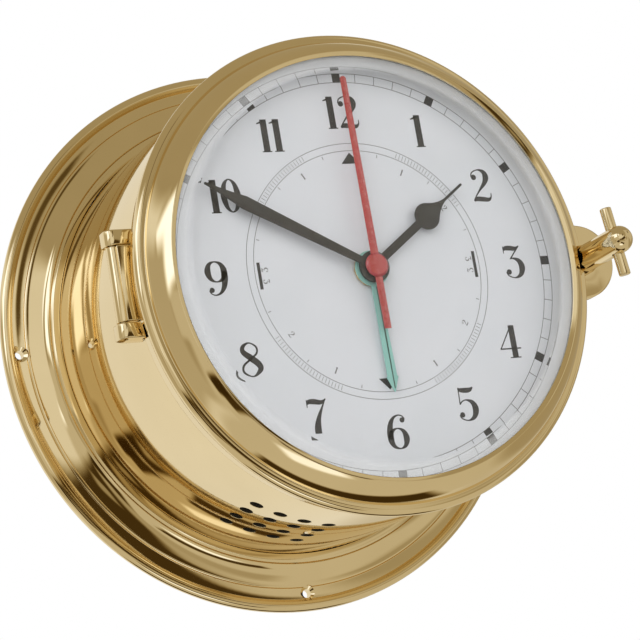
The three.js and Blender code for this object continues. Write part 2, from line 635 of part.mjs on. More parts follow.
// Glass with a bevelled rim, gasket and snap ring
const glassFront = GLASS_BACK + GLASS_THICKNESS;
const glassRim = GLASS_BACK + GLASS_RIM_THICKNESS;
addPiece('bezel_glass', turned([
  [0, GLASS_BACK],
  [GLASS_RADIUS, GLASS_BACK],
  [GLASS_RADIUS, glassRim],
  [LIP_RADIUS, glassRim],
  [LIP_RADIUS - BEVEL_WIDTH, glassFront],
  [0, glassFront],
]), GLASS);
const gasketFront = GLASS_BACK - SEAT_GAP;
const gasketBack = gasketFront - GASKET_THICKNESS;
const gasketInner = GLASS_RADIUS - GASKET_WIDTH;
addPiece('glass_gasket', ring(gasketInner, GLASS_RADIUS, gasketBack, gasketFront), RUBBER);
const snapOuter = GLASS_BORE + SNAP_GROOVE - SEAT_GAP;
const snapSplit = block(
  -SNAP_RING_SPLIT / 2, SNAP_RING_SPLIT / 2, -snapOuter - OVERCUT, 0, snapBack - OVERCUT, snapFront + OVERCUT,
);
addPiece('glass_snap_ring', cut(ring(gasketInner, snapOuter, snapBack, snapFront), snapSplit), STEEL);

// Lug on the drum that takes the thumbscrew
const lugFront = DRUM_MOUTH_DEPTH;
const lugBack = lugFront - LUG_THICKNESS;
const lugBody = plate(earShape(DRUM_RADIUS + SEAT_GAP, SCREW_X, LUG_RADIUS, EAR_FILLET), lugBack, lugFront);
const lugCore = disc(DRUM_RADIUS + SEAT_GAP, lugBack - OVERCUT, lugFront + OVERCUT);
const lugHole = disc(SHANK_RADIUS + LUG_CLEARANCE, lugBack - OVERCUT, lugFront + OVERCUT, ROUND_SIDES);
const lugBoreBack = SCREW_CLIP_BACK - LUG_CLEARANCE;
const lugBore = disc(SCREW_CLIP_RADIUS + LUG_CLEARANCE, lugBoreBack, lugFront + OVERCUT, ROUND_SIDES);
const lugCuts = [lugHole, lugBore].map((tool) => tool.translate(SCREW_X, 0, 0));
addPiece('case_lug', cut(lugBody, lugCore, ...lugCuts), BRASS);

// Thumbscrew: shank, collar and domed head, with a cross bar through the head
const headEnd = COLLAR_FRONT + HEAD_LENGTH;
const barDepth = headEnd - HEAD_RADIUS - CROSS_BAR_SETBACK;
const shankTip = EAR_BACK - SHANK_TIP_LENGTH;
const screwBody = turned([
  [0, shankTip],
  [SHANK_RADIUS - TIP_CHAMFER, shankTip],
  [SHANK_RADIUS, shankTip + TIP_CHAMFER],
  [SHANK_RADIUS, COLLAR_BACK],
  [COLLAR_RADIUS, COLLAR_BACK],
  [COLLAR_RADIUS, COLLAR_FRONT],
  [HEAD_RADIUS, COLLAR_FRONT + HEAD_NECK],
  ...arcPoints(0, headEnd - HEAD_RADIUS, HEAD_RADIUS, 0, 90, CURVE_STEPS),
], ROUND_SIDES);
const barHoleEnd = HEAD_RADIUS + OVERCUT;
const barHole = post(0, barDepth, -barHoleEnd, barHoleEnd, CROSS_BAR_RADIUS + SEAT_GAP, SMALL_SIDES);
const screw = addPiece('thumbscrew', cut(screwBody, barHole), BRASS);
const barEnd = CROSS_BAR_LENGTH / 2;
const barRod = post(0, barDepth, -barEnd, barEnd, CROSS_BAR_RADIUS, SMALL_SIDES);
const bar = addPiece('thumbscrew_bar', barRod, BRASS);
const shankBore = SHANK_RADIUS + SEAT_GAP;
const clipRing = ring(shankBore, SCREW_CLIP_RADIUS, SCREW_CLIP_BACK, SCREW_CLIP_FRONT, SMALL_SIDES);
const screwClip = addPiece('thumbscrew_clip', clipRing, STEEL);
const screwWasherBack = WASHER_FRONT - WASHER_THICKNESS;
const washerRing = ring(shankBore, COLLAR_RADIUS, screwWasherBack, WASHER_FRONT, SMALL_SIDES);
const washer = addPiece('thumbscrew_washer', washerRing, BRASS);
for (const mesh of [screw, bar, screwClip, washer]) mesh.position.x = SCREW_X;
for (const mesh of [screw, bar]) mesh.rotation.y = THREE.MathUtils.degToRad(CROSS_BAR_TILT);

// Hinge: two lugs on the drum, a knuckle with a leaf on the bezel, and the pin
const lugOutline = [
  [-DRUM_RADIUS + HINGE_EYE_RADIUS, HINGE_DEPTH - HINGE_LUG_LENGTH + HINGE_EYE_RADIUS],
  [-DRUM_RADIUS + HINGE_EYE_RADIUS, HINGE_DEPTH + HINGE_EYE_RADIUS],
  ...arcPoints(HINGE_X, HINGE_DEPTH, HINGE_EYE_RADIUS, 90, 180, CURVE_STEPS),
  [HINGE_X - HINGE_EYE_RADIUS, HINGE_DEPTH - HINGE_EYE_RADIUS],
  [HINGE_X, HINGE_DEPTH - HINGE_LUG_LENGTH + HINGE_EYE_RADIUS],
];
const hingeTop = HINGE_RISE + HINGE_HEIGHT / 2;
const hingeBottom = HINGE_RISE - HINGE_HEIGHT / 2;
const pinBore = HINGE_PIN_RADIUS + TURN_GAP;
const pinHole = post(
  HINGE_X, HINGE_DEPTH, hingeBottom - OVERCUT, hingeTop + OVERCUT, pinBore, SMALL_SIDES,
);
const drumClear = disc(DRUM_RADIUS + SEAT_GAP, 0, DRUM_MOUTH_DEPTH + SEAT_GAP);
const skirtClear = disc(SKIRT_RADIUS + BEZEL_SEAM, DRUM_MOUTH_DEPTH, SKIRT_FRONT);
const hingeLugs = [['hinge_lug_top', hingeTop - HINGE_LUG_HEIGHT], ['hinge_lug_bottom', hingeBottom]];
hingeLugs.forEach(([name, bottom]) => {
  const hingeLug = column(lugOutline, bottom, bottom + HINGE_LUG_HEIGHT);
  addPiece(name, cut(hingeLug, drumClear, skirtClear, pinHole), BRASS);
});
const knuckleTop = hingeTop - HINGE_LUG_HEIGHT - TURN_GAP;
const knuckleBottom = hingeBottom + HINGE_LUG_HEIGHT + TURN_GAP;
const leaf = block(
  HINGE_X, -SKIRT_RADIUS + SKIRT_WALL, knuckleBottom, knuckleTop,
  HINGE_DEPTH + LEAF_SETBACK, HINGE_DEPTH + LEAF_SETBACK + LEAF_THICKNESS,
);
const bezelClear = disc(SKIRT_RADIUS + SEAT_GAP, DRUM_MOUTH_DEPTH, SKIRT_FRONT);
const knuckle = post(HINGE_X, HINGE_DEPTH, knuckleBottom, knuckleTop, KNUCKLE_RADIUS);
addPiece('bezel_hinge_leaf', cut(join(knuckle, cut(leaf, bezelClear)), pinHole), BRASS);
const hingePin = post(HINGE_X, HINGE_DEPTH, hingeBottom, hingeTop, HINGE_PIN_RADIUS, SMALL_SIDES);
addPiece('hinge_pin', hingePin, STEEL);

// Hands, each drawn pointing to 12 and then turned to its angle
function addHand(name, shape, spindleRadius, back, degrees, finish) {
  roundHole(shape, 0, 0, spindleRadius + SEAT_GAP);
  const hand = addPiece(name, plate(shape, back, back + HAND_THICKNESS), finish);
  hand.rotation.y = THREE.MathUtils.degToRad(degrees);
}

// Outline of a hub disc with a blade on top, and a tail below where there is one
function handShape(hubRadius, rootWidth, blade, tail = []) {
  const rootTop = Math.sqrt(hubRadius ** 2 - (rootWidth / 2) ** 2);
  const rootAngle = THREE.MathUtils.radToDeg(Math.atan2(rootTop, rootWidth / 2));
  const mirrored = blade.map(([x, z]) => [-x, z]).reverse().filter(([x]) => x < 0);
  if (tail.length === 0) {
    const around = arcPoints(0, 0, hubRadius, 180 - rootAngle, 360 + rootAngle, ROUND_SIDES);
    return polygonShape([...around, ...blade, ...mirrored]);
  }
  const tailWidth = tail[0][0];
  const tailTop = Math.sqrt(hubRadius ** 2 - tailWidth ** 2);
  const tailAngle = THREE.MathUtils.radToDeg(Math.atan2(tailTop, tailWidth));
  const left = arcPoints(0, 0, hubRadius, 180 - rootAngle, 180 + tailAngle, ROUND_SIDES / 2);
  const right = arcPoints(0, 0, hubRadius, -tailAngle, rootAngle, ROUND_SIDES / 2);
  const mirroredTail = tail.map(([x, z]) => [-x, z]);
  return polygonShape([...left, ...mirroredTail, ...[...tail].reverse(), ...right, ...blade, ...mirrored]);
}
const spadeSide = arcPoints(0, SPADE_CENTRE, SPADE_RADIUS, SPADE_START, SPADE_END, CURVE_STEPS);
const spadeTip = [HOUR_TIP_WIDTH / 2, SPADE_NECK];
const spadePull = [HOUR_TIP_WIDTH, SPADE_NECK - SPADE_SWEEP];
const tideHead = TIDE_HAND_LENGTH - TIDE_HEAD_LENGTH;
addHand('tide_hand', handShape(TIDE_HUB_RADIUS, TIDE_STEM_WIDTH, [
  [TIDE_HEAD_WIDTH / 2, tideHead],
  [0, TIDE_HAND_LENGTH],
]), TIDE_PIPE_RADIUS, TIDE_HAND_BACK, TIDE_HAND_ANGLE, HAND_AQUA);
addHand('hour_hand', handShape(HOUR_HUB_RADIUS, HOUR_STEM_WIDTH, [
  [HOUR_STEM_WIDTH / 2, SPADE_CENTRE - SPADE_RADIUS],
  ...spadeSide,
  ...curvePoints(spadeSide.at(-1), spadePull, spadeTip, CURVE_STEPS).slice(1),
  [HOUR_TIP_WIDTH / 2, HOUR_HAND_LENGTH],
]), HOUR_PIPE_RADIUS, HOUR_HAND_BACK, HOUR_HAND_ANGLE, HAND_BLACK);
addHand('minute_hand', handShape(MINUTE_HUB_RADIUS, MINUTE_ROOT_WIDTH, [
  [MINUTE_SHOULDER_WIDTH / 2, MINUTE_SHOULDER],
  [MINUTE_TIP_WIDTH, (MINUTE_SHOULDER + MINUTE_HAND_LENGTH) / 2],
  [MINUTE_TIP_WIDTH / 2, MINUTE_HAND_LENGTH],
]), MINUTE_PIPE_RADIUS, MINUTE_HAND_BACK, MINUTE_HAND_ANGLE, HAND_BLACK);
addHand('second_hand', handShape(SECOND_HUB_RADIUS, SECOND_ROOT_WIDTH, [
  [SECOND_TIP_WIDTH / 2, SECOND_HAND_LENGTH],
], [
  [SECOND_TAIL_WIDTH / 2, -SECOND_TAIL_LENGTH],
]), SECOND_ARBOR_RADIUS, SECOND_HAND_BACK, SECOND_HAND_ANGLE, HAND_RED);

// Coaxial arbor and pipes, each a step longer than the one around it
const tailEnd = (layer) => layerBack(layer) - SEAT_GAP;
const addPipe = (name, bore, radius, lastLayer, handBack) => (
  addPiece(name, ring(bore, radius, tailEnd(lastLayer), handBack + HAND_THICKNESS, SMALL_SIDES), BRASS)
);
addPipe('tide_pipe', TIDE_PIPE_BORE, TIDE_PIPE_RADIUS, TIDE_LAYER, TIDE_HAND_BACK);
addPipe('hour_pipe', HOUR_PIPE_BORE, HOUR_PIPE_RADIUS, HOUR_LAYER, HOUR_HAND_BACK);
addPipe('minute_pipe', MINUTE_PIPE_BORE, MINUTE_PIPE_RADIUS, CENTRE_LAYER, MINUTE_HAND_BACK);
const arborFront = SECOND_HAND_BACK + HAND_THICKNESS;
const arbor = disc(SECOND_ARBOR_RADIUS, tailEnd(SECOND_LAYER), arborFront, SMALL_SIDES);
addPiece('second_arbor', arbor, STEEL);
addPiece('second_hub_cap', turned([
  [0, SECOND_CAP_BACK],
  [SECOND_HUB_RADIUS, SECOND_CAP_BACK],
  [SECOND_HUB_RADIUS - SECOND_CAP_BEVEL, SECOND_CAP_FRONT],
  [0, SECOND_CAP_FRONT],
], ROUND_SIDES), HAND_RED).rotation.y = THREE.MathUtils.degToRad(SECOND_HAND_ANGLE);

// Centre bush, its nut and the rubber washer behind the dial
addPiece('centre_bush', turned([
  [BUSH_BORE, REAR_SHELL_FRONT - BUSH_FLANGE_THICKNESS],
  [BUSH_FLANGE_RADIUS, REAR_SHELL_FRONT - BUSH_FLANGE_THICKNESS],
  [BUSH_FLANGE_RADIUS, REAR_SHELL_FRONT],
  [BUSH_RADIUS, REAR_SHELL_FRONT],
  [BUSH_RADIUS, NUT_FRONT],
  [BUSH_BORE, NUT_FRONT],
], SMALL_SIDES), BRASS);
addPiece('bush_nut', ring(BUSH_RADIUS + SEAT_GAP, NUT_RADIUS, NUT_BACK, NUT_FRONT, SMALL_SIDES), BRASS);
const washerBack = MOVEMENT_FRONT + SEAT_GAP;
const washerFront = washerBack + RUBBER_WASHER_THICKNESS;
const rubberRing = ring(BUSH_RADIUS + SEAT_GAP, RUBBER_WASHER_RADIUS, washerBack, washerFront, SMALL_SIDES);
addPiece('rubber_washer', rubberRing, RUBBER);

// Two wheels that mesh across a distance: their pitch radii, and the angle of a tooth on each,
// so that a tooth of the one lies in a gap of the other on the line between them
function meshingPair(distance, direction, teeth, otherTeeth, phase = direction) {
  const share = distance / (teeth + otherTeeth);
  const offset = ((phase - direction) * teeth) / 360 + 1 / 2;
  const otherPhase = direction + 180 - (offset * 360) / otherTeeth;
  return [
    { teeth, radius: share * teeth, phase },
    { teeth: otherTeeth, radius: share * otherTeeth, phase: otherPhase },
  ];
}

function rootRadius({ teeth, radius }) {
  return radius - (TOOTH_ROOT * 2 * radius) / teeth;
}

// A toothed disc in its layer
function gear({ teeth, radius, phase }, layer) {
  const tip = radius + (TOOTH_TIP * 2 * radius) / teeth;
  const root = rootRadius({ teeth, radius });
  const outline = Array.from({ length: teeth }, (_, i) => {
    const angle = phase + (360 / teeth) * i;
    return [clockPoint(tip, angle), clockPoint(root, angle + 180 / teeth)];
  }).flat();
  return plate(polygonShape(outline), layerBack(layer), layerFront(layer));
}

function bored(geometry, radius) {
  return cut(geometry, disc(radius, CAVITY_BACK, FRONT_SHELL_BACK, BORE_SIDES));
}

// A wheel and a pinion in one piece, with a hub through both layers
function compound(wheel, wheelLayer, pinion, pinionLayer, bore) {
  const back = Math.min(layerBack(wheelLayer), layerBack(pinionLayer));
  const front = Math.max(layerFront(wheelLayer), layerFront(pinionLayer));
  const hub = disc(rootRadius(pinion), back, front, SMALL_SIDES);
  return bored(join(gear(wheel, wheelLayer), gear(pinion, pinionLayer), hub), bore);
}

function addWheel(name, geometry, [x, z] = [0, 0]) {
  addPiece(name, geometry.translate(x, 0, z), NYLON);
}

// Motion work on the minute and hour pipes; its second arbor meshes with the time knob's pinion too
const motionToothShare = MOTION_DISTANCE / (CANNON_TEETH + MOTION_WHEEL_TEETH);
const settingDistance = motionToothShare * (MOTION_WHEEL_TEETH + SETTING_TEETH);
const timeKnobDistance = Math.hypot(...TIME_KNOB_PLACE);
const [knobX, knobZ] = TIME_KNOB_PLACE.map((value) => value / timeKnobDistance);
const along = (MOTION_DISTANCE ** 2 + timeKnobDistance ** 2 - settingDistance ** 2) / (2 * timeKnobDistance);
const aside = Math.sqrt(MOTION_DISTANCE ** 2 - along ** 2);
const motionPlace = [along * knobX - aside * knobZ, along * knobZ + aside * knobX];
const motionAngle = clockAngle(motionPlace);
const settingAngle = clockAngle(apart(motionPlace, TIME_KNOB_PLACE));
const [cannon, motionWheel] = meshingPair(MOTION_DISTANCE, motionAngle, CANNON_TEETH, MOTION_WHEEL_TEETH);
const [hourWheel, motionPinion] = meshingPair(
  MOTION_DISTANCE, motionAngle, HOUR_WHEEL_TEETH, MOTION_PINION_TEETH,
);
const [, settingPinion] = meshingPair(
  settingDistance, settingAngle, MOTION_WHEEL_TEETH, SETTING_TEETH, motionWheel.phase,
);
const postBore = WHEEL_POST_RADIUS + TURN_GAP;
addWheel('cannon_pinion', bored(gear(cannon, CANNON_LAYER), MINUTE_PIPE_RADIUS + SEAT_GAP));
addWheel('hour_wheel', bored(gear(hourWheel, HOUR_LAYER), HOUR_PIPE_RADIUS + SEAT_GAP));
const motion = compound(motionWheel, CANNON_LAYER, motionPinion, HOUR_LAYER, postBore);
addWheel('motion_wheel', motion, motionPlace);
const spindleBore = KNOB_SPINDLE_RADIUS + SEAT_GAP;
addWheel('time_set_pinion', bored(gear(settingPinion, CANNON_LAYER), spindleBore), TIME_KNOB_PLACE);

// Tide work: a double idler on the tide knob's spindle joins the hour pipe to the tide pipe
const tideKnobDistance = Math.hypot(...TIDE_KNOB_PLACE);
const tideAngle = clockAngle(TIDE_KNOB_PLACE);
const [tideWheel, idlerFront] = meshingPair(tideKnobDistance, tideAngle, TIDE_WHEEL_TEETH, TIDE_IDLER_TEETH);
const [tideDrive, idlerBack] = meshingPair(tideKnobDistance, tideAngle, TIDE_DRIVE_TEETH, TIDE_IDLER_TEETH);
const idler = compound(idlerBack, TIDE_DRIVE_LAYER, idlerFront, TIDE_LAYER, spindleBore);
addWheel('tide_wheel', bored(gear(tideWheel, TIDE_LAYER), TIDE_PIPE_RADIUS + SEAT_GAP));
addWheel('tide_drive_wheel', bored(gear(tideDrive, TIDE_DRIVE_LAYER), HOUR_PIPE_RADIUS + SEAT_GAP));
addWheel('tide_idler', idler, TIDE_KNOB_PLACE);

// Going train: the centre wheel turns on the minute pipe, where the setting clutch lets it slip
const thirdPlace = clockPoint(THIRD_DISTANCE, THIRD_ANGLE);
const intermediatePlace = clockPoint(INTERMEDIATE_DISTANCE, INTERMEDIATE_ANGLE);
const [rotorReachX, rotorReachZ] = clockPoint(ROTOR_DISTANCE, ROTOR_ANGLE);
const rotorPlace = [intermediatePlace[0] + rotorReachX, intermediatePlace[1] + rotorReachZ];
const [centreWheel, thirdPinion] = meshingPair(
  THIRD_DISTANCE, THIRD_ANGLE, CENTRE_WHEEL_TEETH, THIRD_PINION_TEETH,
);
const [secondPinion, thirdWheel] = meshingPair(
  THIRD_DISTANCE, THIRD_ANGLE, SECOND_PINION_TEETH, THIRD_WHEEL_TEETH,
);
const [secondWheel, intermediatePinion] = meshingPair(
  INTERMEDIATE_DISTANCE, INTERMEDIATE_ANGLE, SECOND_WHEEL_TEETH, INTERMEDIATE_PINION_TEETH,
);
const [intermediateWheel, rotorPinion] = meshingPair(
  ROTOR_DISTANCE, ROTOR_ANGLE, INTERMEDIATE_WHEEL_TEETH, ROTOR_TEETH,
);
const arborBore = SECOND_ARBOR_RADIUS + SEAT_GAP;
const intermediate = compound(
  intermediateWheel, INTERMEDIATE_LAYER, intermediatePinion, SECOND_LAYER, postBore,
);
addWheel('centre_wheel', bored(gear(centreWheel, CENTRE_LAYER), MINUTE_PIPE_RADIUS + TURN_GAP));
addWheel('third_wheel', compound(thirdWheel, THIRD_LAYER, thirdPinion, CENTRE_LAYER, postBore), thirdPlace);
addWheel('second_wheel', compound(secondWheel, SECOND_LAYER, secondPinion, THIRD_LAYER, arborBore));
addWheel('intermediate_wheel', intermediate, intermediatePlace);
addWheel('rotor_pinion', bored(gear(rotorPinion, INTERMEDIATE_LAYER), postBore), rotorPlace);

// Step motor
const [rotorX, rotorZ] = rotorPlace;
const magnetBack = layerFront(INTERMEDIATE_LAYER) + SEAT_GAP;
const magnetFront = magnetBack + MAGNET_LENGTH;
const magnet = bored(disc(MAGNET_RADIUS, magnetBack, magnetFront, ROUND_SIDES), postBore);
addPiece('rotor_magnet', magnet.translate(rotorX, 0, rotorZ), STEEL);
const statorBack = layerBack(THIRD_LAYER);
const statorFront = statorBack + STATOR_THICKNESS;
const statorBottom = CAVITY_BOTTOM + 2 * SEAT_GAP;
const poleRight = rotorX + STATOR_POLE_HALF;
const poleLeft = rotorX - STATOR_POLE_HALF;
const poleTop = rotorZ + STATOR_POLE_RISE;
const footLeft = STATOR_RIGHT - STATOR_FOOT_WIDTH;
const statorShape = polygonShape([
  [poleLeft, statorBottom],
  [poleRight, statorBottom],
  [poleRight, STATOR_LIMB_BOTTOM],
  [footLeft, STATOR_LIMB_BOTTOM],
  [footLeft, statorBottom],
  [STATOR_RIGHT, statorBottom],
  [STATOR_RIGHT, STATOR_LIMB_TOP],
  [poleRight, STATOR_LIMB_TOP],
  [poleRight, poleTop],
  [poleLeft, poleTop],
]);
roundHole(statorShape, rotorX, rotorZ, MAGNET_RADIUS + ROTOR_AIR_GAP);
addPiece('stator_plate', plate(statorShape, statorBack, statorFront, ROUND_SIDES / 2), STEEL);
const coreBack = statorFront + SEAT_GAP;
const coreFront = coreBack + STATOR_THICKNESS;
const coreDepth = (coreBack + coreFront) / 2;
const coreZ = CAVITY_BOTTOM + COIL_RADIUS + COIL_CLEARANCE;
const coreBottom = coreZ - CORE_WIDTH / 2;
const core = block(poleLeft, STATOR_RIGHT, coreBottom, coreBottom + CORE_WIDTH, coreBack, coreFront);
addPiece('coil_core', core, STEEL);
const coilTube = (radius, left, right) => (
  new THREE.CylinderGeometry(radius, radius, right - left, SMALL_SIDES)
    .rotateZ(Math.PI / 2)
    .translate((left + right) / 2, -coreDepth, coreZ)
);
const windingLeft = COIL_LEFT + COIL_FLANGE + SEAT_GAP;
const windingRight = COIL_RIGHT - COIL_FLANGE - SEAT_GAP;
const coreSlot = block(
  COIL_LEFT - OVERCUT, COIL_RIGHT + OVERCUT,
  coreBottom - SEAT_GAP, coreBottom + CORE_WIDTH + SEAT_GAP, coreBack - SEAT_GAP, coreFront + SEAT_GAP,
);
const bobbin = join(
  coilTube(BOBBIN_RADIUS, COIL_LEFT, COIL_RIGHT),
  coilTube(COIL_RADIUS, COIL_LEFT, COIL_LEFT + COIL_FLANGE),
  coilTube(COIL_RADIUS, COIL_RIGHT - COIL_FLANGE, COIL_RIGHT),
);
addPiece('coil_bobbin', cut(bobbin, coreSlot), GREY_PLASTIC);
const windingCore = coilTube(BOBBIN_RADIUS + SEAT_GAP, COIL_LEFT, COIL_RIGHT);
const winding = coilTube(COIL_RADIUS - WINDING_DROP, windingLeft, windingRight);
addPiece('coil_winding', cut(winding, windingCore), COPPER);

// Circuit board and crystal can
const boardBack = CAVITY_BACK + BOARD_LIFT;
const boardFront = boardBack + BOARD_THICKNESS;
const boardRight = INNER_HALF - 2 * SEAT_GAP;
const boardX = (BOARD_LEFT + boardRight) / 2;
const boardBottom = CAVITY_BOTTOM + 2 * SEAT_GAP;
const board = block(BOARD_LEFT, boardRight, boardBottom, BOARD_TOP, boardBack, boardFront);
addPiece('circuit_board', board, BOARD_GREEN);
const crystalDepth = boardFront + SEAT_GAP + CRYSTAL_RADIUS;
const crystalTop = CRYSTAL_BOTTOM + CRYSTAL_LENGTH;
const crystal = post(boardX, crystalDepth, CRYSTAL_BOTTOM, crystalTop, CRYSTAL_RADIUS, BORE_SIDES);
addPiece('crystal_can', crystal, STEEL);

// Movement housing: front shell, and rear shell with a cavity and a cell trough
function housingShape() {
  const half = MOVEMENT_WIDTH / 2;
  const inner = half - MOVEMENT_CORNER;
  return polygonShape([
    ...arcPoints(-inner, MOVEMENT_BOTTOM + MOVEMENT_CORNER, MOVEMENT_CORNER, 180, 270, CORNER_STEPS),
    ...arcPoints(inner, MOVEMENT_BOTTOM + MOVEMENT_CORNER, MOVEMENT_CORNER, 270, 360, CORNER_STEPS),
    ...arcPoints(inner, MOVEMENT_TOP - MOVEMENT_CORNER, MOVEMENT_CORNER, 0, 90, CORNER_STEPS),
    ...arcPoints(-inner, MOVEMENT_TOP - MOVEMENT_CORNER, MOVEMENT_CORNER, 90, 180, CORNER_STEPS),
  ]);
}
const frontShape = housingShape();
roundHole(frontShape, 0, 0, BUSH_RADIUS + SEAT_GAP);
const [motionX, motionZ] = motionPlace;
const motionPostBack = tailEnd(CANNON_LAYER);
const motionPostFront = FRONT_SHELL_BACK + FRONT_SHELL_THICKNESS / 2;
const motionPost = disc(WHEEL_POST_RADIUS, motionPostBack, motionPostFront, BORE_SIDES);
const frontPlate = plate(frontShape, FRONT_SHELL_BACK, MOVEMENT_FRONT);
addPiece('movement_front_shell', join(frontPlate, motionPost.translate(motionX, 0, motionZ)), BLACK_PLASTIC);

const cavityTop = MOVEMENT_TOP - SHELL_WALL;
const cavity = block(
  -INNER_HALF, INNER_HALF, CAVITY_BOTTOM, cavityTop, CAVITY_BACK, REAR_SHELL_FRONT + OVERCUT,
);
const trough = block(
  -INNER_HALF, INNER_HALF, TROUGH_BOTTOM, TROUGH_TOP, MOVEMENT_BACK - OVERCUT, REAR_SHELL_FRONT - SHELL_WALL,
);
const knobHoles = [TIME_KNOB_PLACE, TIDE_KNOB_PLACE].map(([x, z]) => {
  const holeBack = MOVEMENT_BACK - OVERCUT;
  const hole = disc(KNOB_SPINDLE_RADIUS + TURN_GAP, holeBack, CAVITY_BACK + OVERCUT, SMALL_SIDES);
  return hole.translate(x, 0, z);
});
const standing = (radius, front, [x, z]) => (
  disc(radius, CAVITY_BACK - SHELL_WALL / 2, front, BORE_SIDES).translate(x, 0, z)
);
const bosses = [
  standing(WHEEL_POST_RADIUS, layerFront(CENTRE_LAYER) + SEAT_GAP, thirdPlace),
  standing(WHEEL_POST_RADIUS, layerFront(SECOND_LAYER) + SEAT_GAP, intermediatePlace),
  standing(WHEEL_POST_RADIUS, magnetFront + SEAT_GAP, rotorPlace),
  standing(BOSS_RADIUS, statorBack - SEAT_GAP, [poleLeft + BOSS_MARGIN, statorBottom + BOSS_MARGIN]),
  standing(BOSS_RADIUS, statorBack - SEAT_GAP, [(footLeft + STATOR_RIGHT) / 2, coreZ + BOSS_MARGIN]),
  standing(BOSS_RADIUS, boardBack - SEAT_GAP, [boardX, boardBottom + BOSS_MARGIN]),
  standing(BOSS_RADIUS, boardBack - SEAT_GAP, [boardX, BOARD_TOP - BOSS_MARGIN]),
];
const rearBlock = plate(housingShape(), MOVEMENT_BACK, REAR_SHELL_FRONT);
addPiece('movement_rear_shell', join(cut(rearBlock, cavity, trough, ...knobHoles), ...bosses), BLACK_PLASTIC);

// Cell with its contacts
const cellZ = (TROUGH_BOTTOM + TROUGH_TOP) / 2;
const cellDepth = REAR_SHELL_FRONT - SHELL_WALL - CELL_GAP - CELL_RADIUS;
const cellHalf = CELL_LENGTH / 2;
const cellBody = new THREE.LatheGeometry([
  new THREE.Vector2(0, -cellHalf),
  new THREE.Vector2(CELL_RADIUS, -cellHalf),
  new THREE.Vector2(CELL_RADIUS, cellHalf),
  new THREE.Vector2(CELL_NUB_RADIUS, cellHalf),
  new THREE.Vector2(CELL_NUB_RADIUS, cellHalf + CELL_NUB_LENGTH),
  new THREE.Vector2(0, cellHalf + CELL_NUB_LENGTH),
], ROUND_SIDES);
addPiece('cell', cellBody.rotateZ(-Math.PI / 2).translate(0, -cellDepth, cellZ), CELL_JACKET);
const contactBack = cellDepth - CELL_RADIUS;
const contactFront = cellDepth + CELL_RADIUS;
function contactOutline(wallX, touchX) {
  const inward = Math.sign(touchX - wallX);
  const thick = CONTACT_THICKNESS * inward;
  return [
    [wallX, contactBack],
    [wallX + thick, contactBack],
    [touchX, cellDepth],
    [wallX + thick, contactFront],
    [wallX, contactFront],
  ];
}
const contactWall = INNER_HALF - SEAT_GAP;
const positiveTouch = cellHalf + CELL_NUB_LENGTH + SEAT_GAP;
const negativeTouch = -cellHalf - SEAT_GAP;
const contactBottom = cellZ - CONTACT_WIDTH / 2;
const contactTop = contactBottom + CONTACT_WIDTH;
const positiveOutline = contactOutline(contactWall, positiveTouch);
const negativeOutline = contactOutline(-contactWall, negativeTouch).reverse();
addPiece('cell_contact_positive', column(positiveOutline, contactBottom, contactTop), STEEL);
addPiece('cell_contact_negative', column(negativeOutline, contactBottom, contactTop), STEEL);

// Setting knobs, fluted round the edge, each with a spindle as long as its pinion needs
const knobFront = MOVEMENT_BACK - TURN_GAP;
const knobBack = knobFront - KNOB_THICKNESS;
function addKnob(name, [x, z], lastLayer) {
  const head = disc(KNOB_RADIUS, knobBack, knobFront, ROUND_SIDES);
  const spindleBack = knobFront - KNOB_THICKNESS / 2;
  const spindle = disc(KNOB_SPINDLE_RADIUS, spindleBack, layerFront(lastLayer) + SEAT_GAP, SMALL_SIDES);
  const flutes = Array.from({ length: KNOB_FLUTES }, (_, i) => {
    const [fluteX, fluteZ] = clockPoint(KNOB_RADIUS, (360 / KNOB_FLUTES) * i);
    const flute = disc(KNOB_FLUTE_RADIUS, knobBack - OVERCUT, knobFront + OVERCUT, FLUTE_SIDES);
    return flute.translate(fluteX, 0, fluteZ);
  });
  addPiece(name, cut(join(head, spindle), ...flutes), GREY_PLASTIC).position.set(x, 0, z);
}
addKnob('time_set_knob', TIME_KNOB_PLACE, CANNON_LAYER);
addKnob('tide_set_knob', TIDE_KNOB_PLACE, TIDE_LAYER);

export default clock;
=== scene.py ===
"""Ship's clock: smooth metalwork, printed dial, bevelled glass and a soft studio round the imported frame.

Sizes are in millimetres until a mesh is made. A depth is the distance from the wall, so depth d lies
at y = -d. Clock angles are in degrees, clockwise from 12 as seen from the front.
"""

import math

import bmesh
import bpy
import numpy as np
from mathutils import Matrix, Vector


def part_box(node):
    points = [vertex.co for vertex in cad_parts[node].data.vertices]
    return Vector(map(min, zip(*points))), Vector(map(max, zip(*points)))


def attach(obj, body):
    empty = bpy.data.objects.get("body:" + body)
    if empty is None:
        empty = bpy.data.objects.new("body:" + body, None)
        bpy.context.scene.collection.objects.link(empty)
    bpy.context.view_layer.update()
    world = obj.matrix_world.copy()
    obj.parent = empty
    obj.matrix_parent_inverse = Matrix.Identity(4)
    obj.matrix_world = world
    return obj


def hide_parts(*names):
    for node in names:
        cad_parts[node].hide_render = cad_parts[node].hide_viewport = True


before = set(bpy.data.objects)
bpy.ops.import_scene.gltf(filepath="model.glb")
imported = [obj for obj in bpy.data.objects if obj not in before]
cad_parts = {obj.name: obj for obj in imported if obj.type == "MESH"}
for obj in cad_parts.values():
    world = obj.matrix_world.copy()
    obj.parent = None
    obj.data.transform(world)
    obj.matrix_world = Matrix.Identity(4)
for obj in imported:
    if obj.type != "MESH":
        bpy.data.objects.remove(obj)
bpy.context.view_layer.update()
scene = bpy.context.scene

MM = 0.001
TINY = 1e-6
RING_SIDES = 192
ROUND_SIDES = 64
SMALL_SIDES = 32
SHARP_DEGREES = 32
FOLD_DEGREES = 40
CORNER_SHARE = 0.45
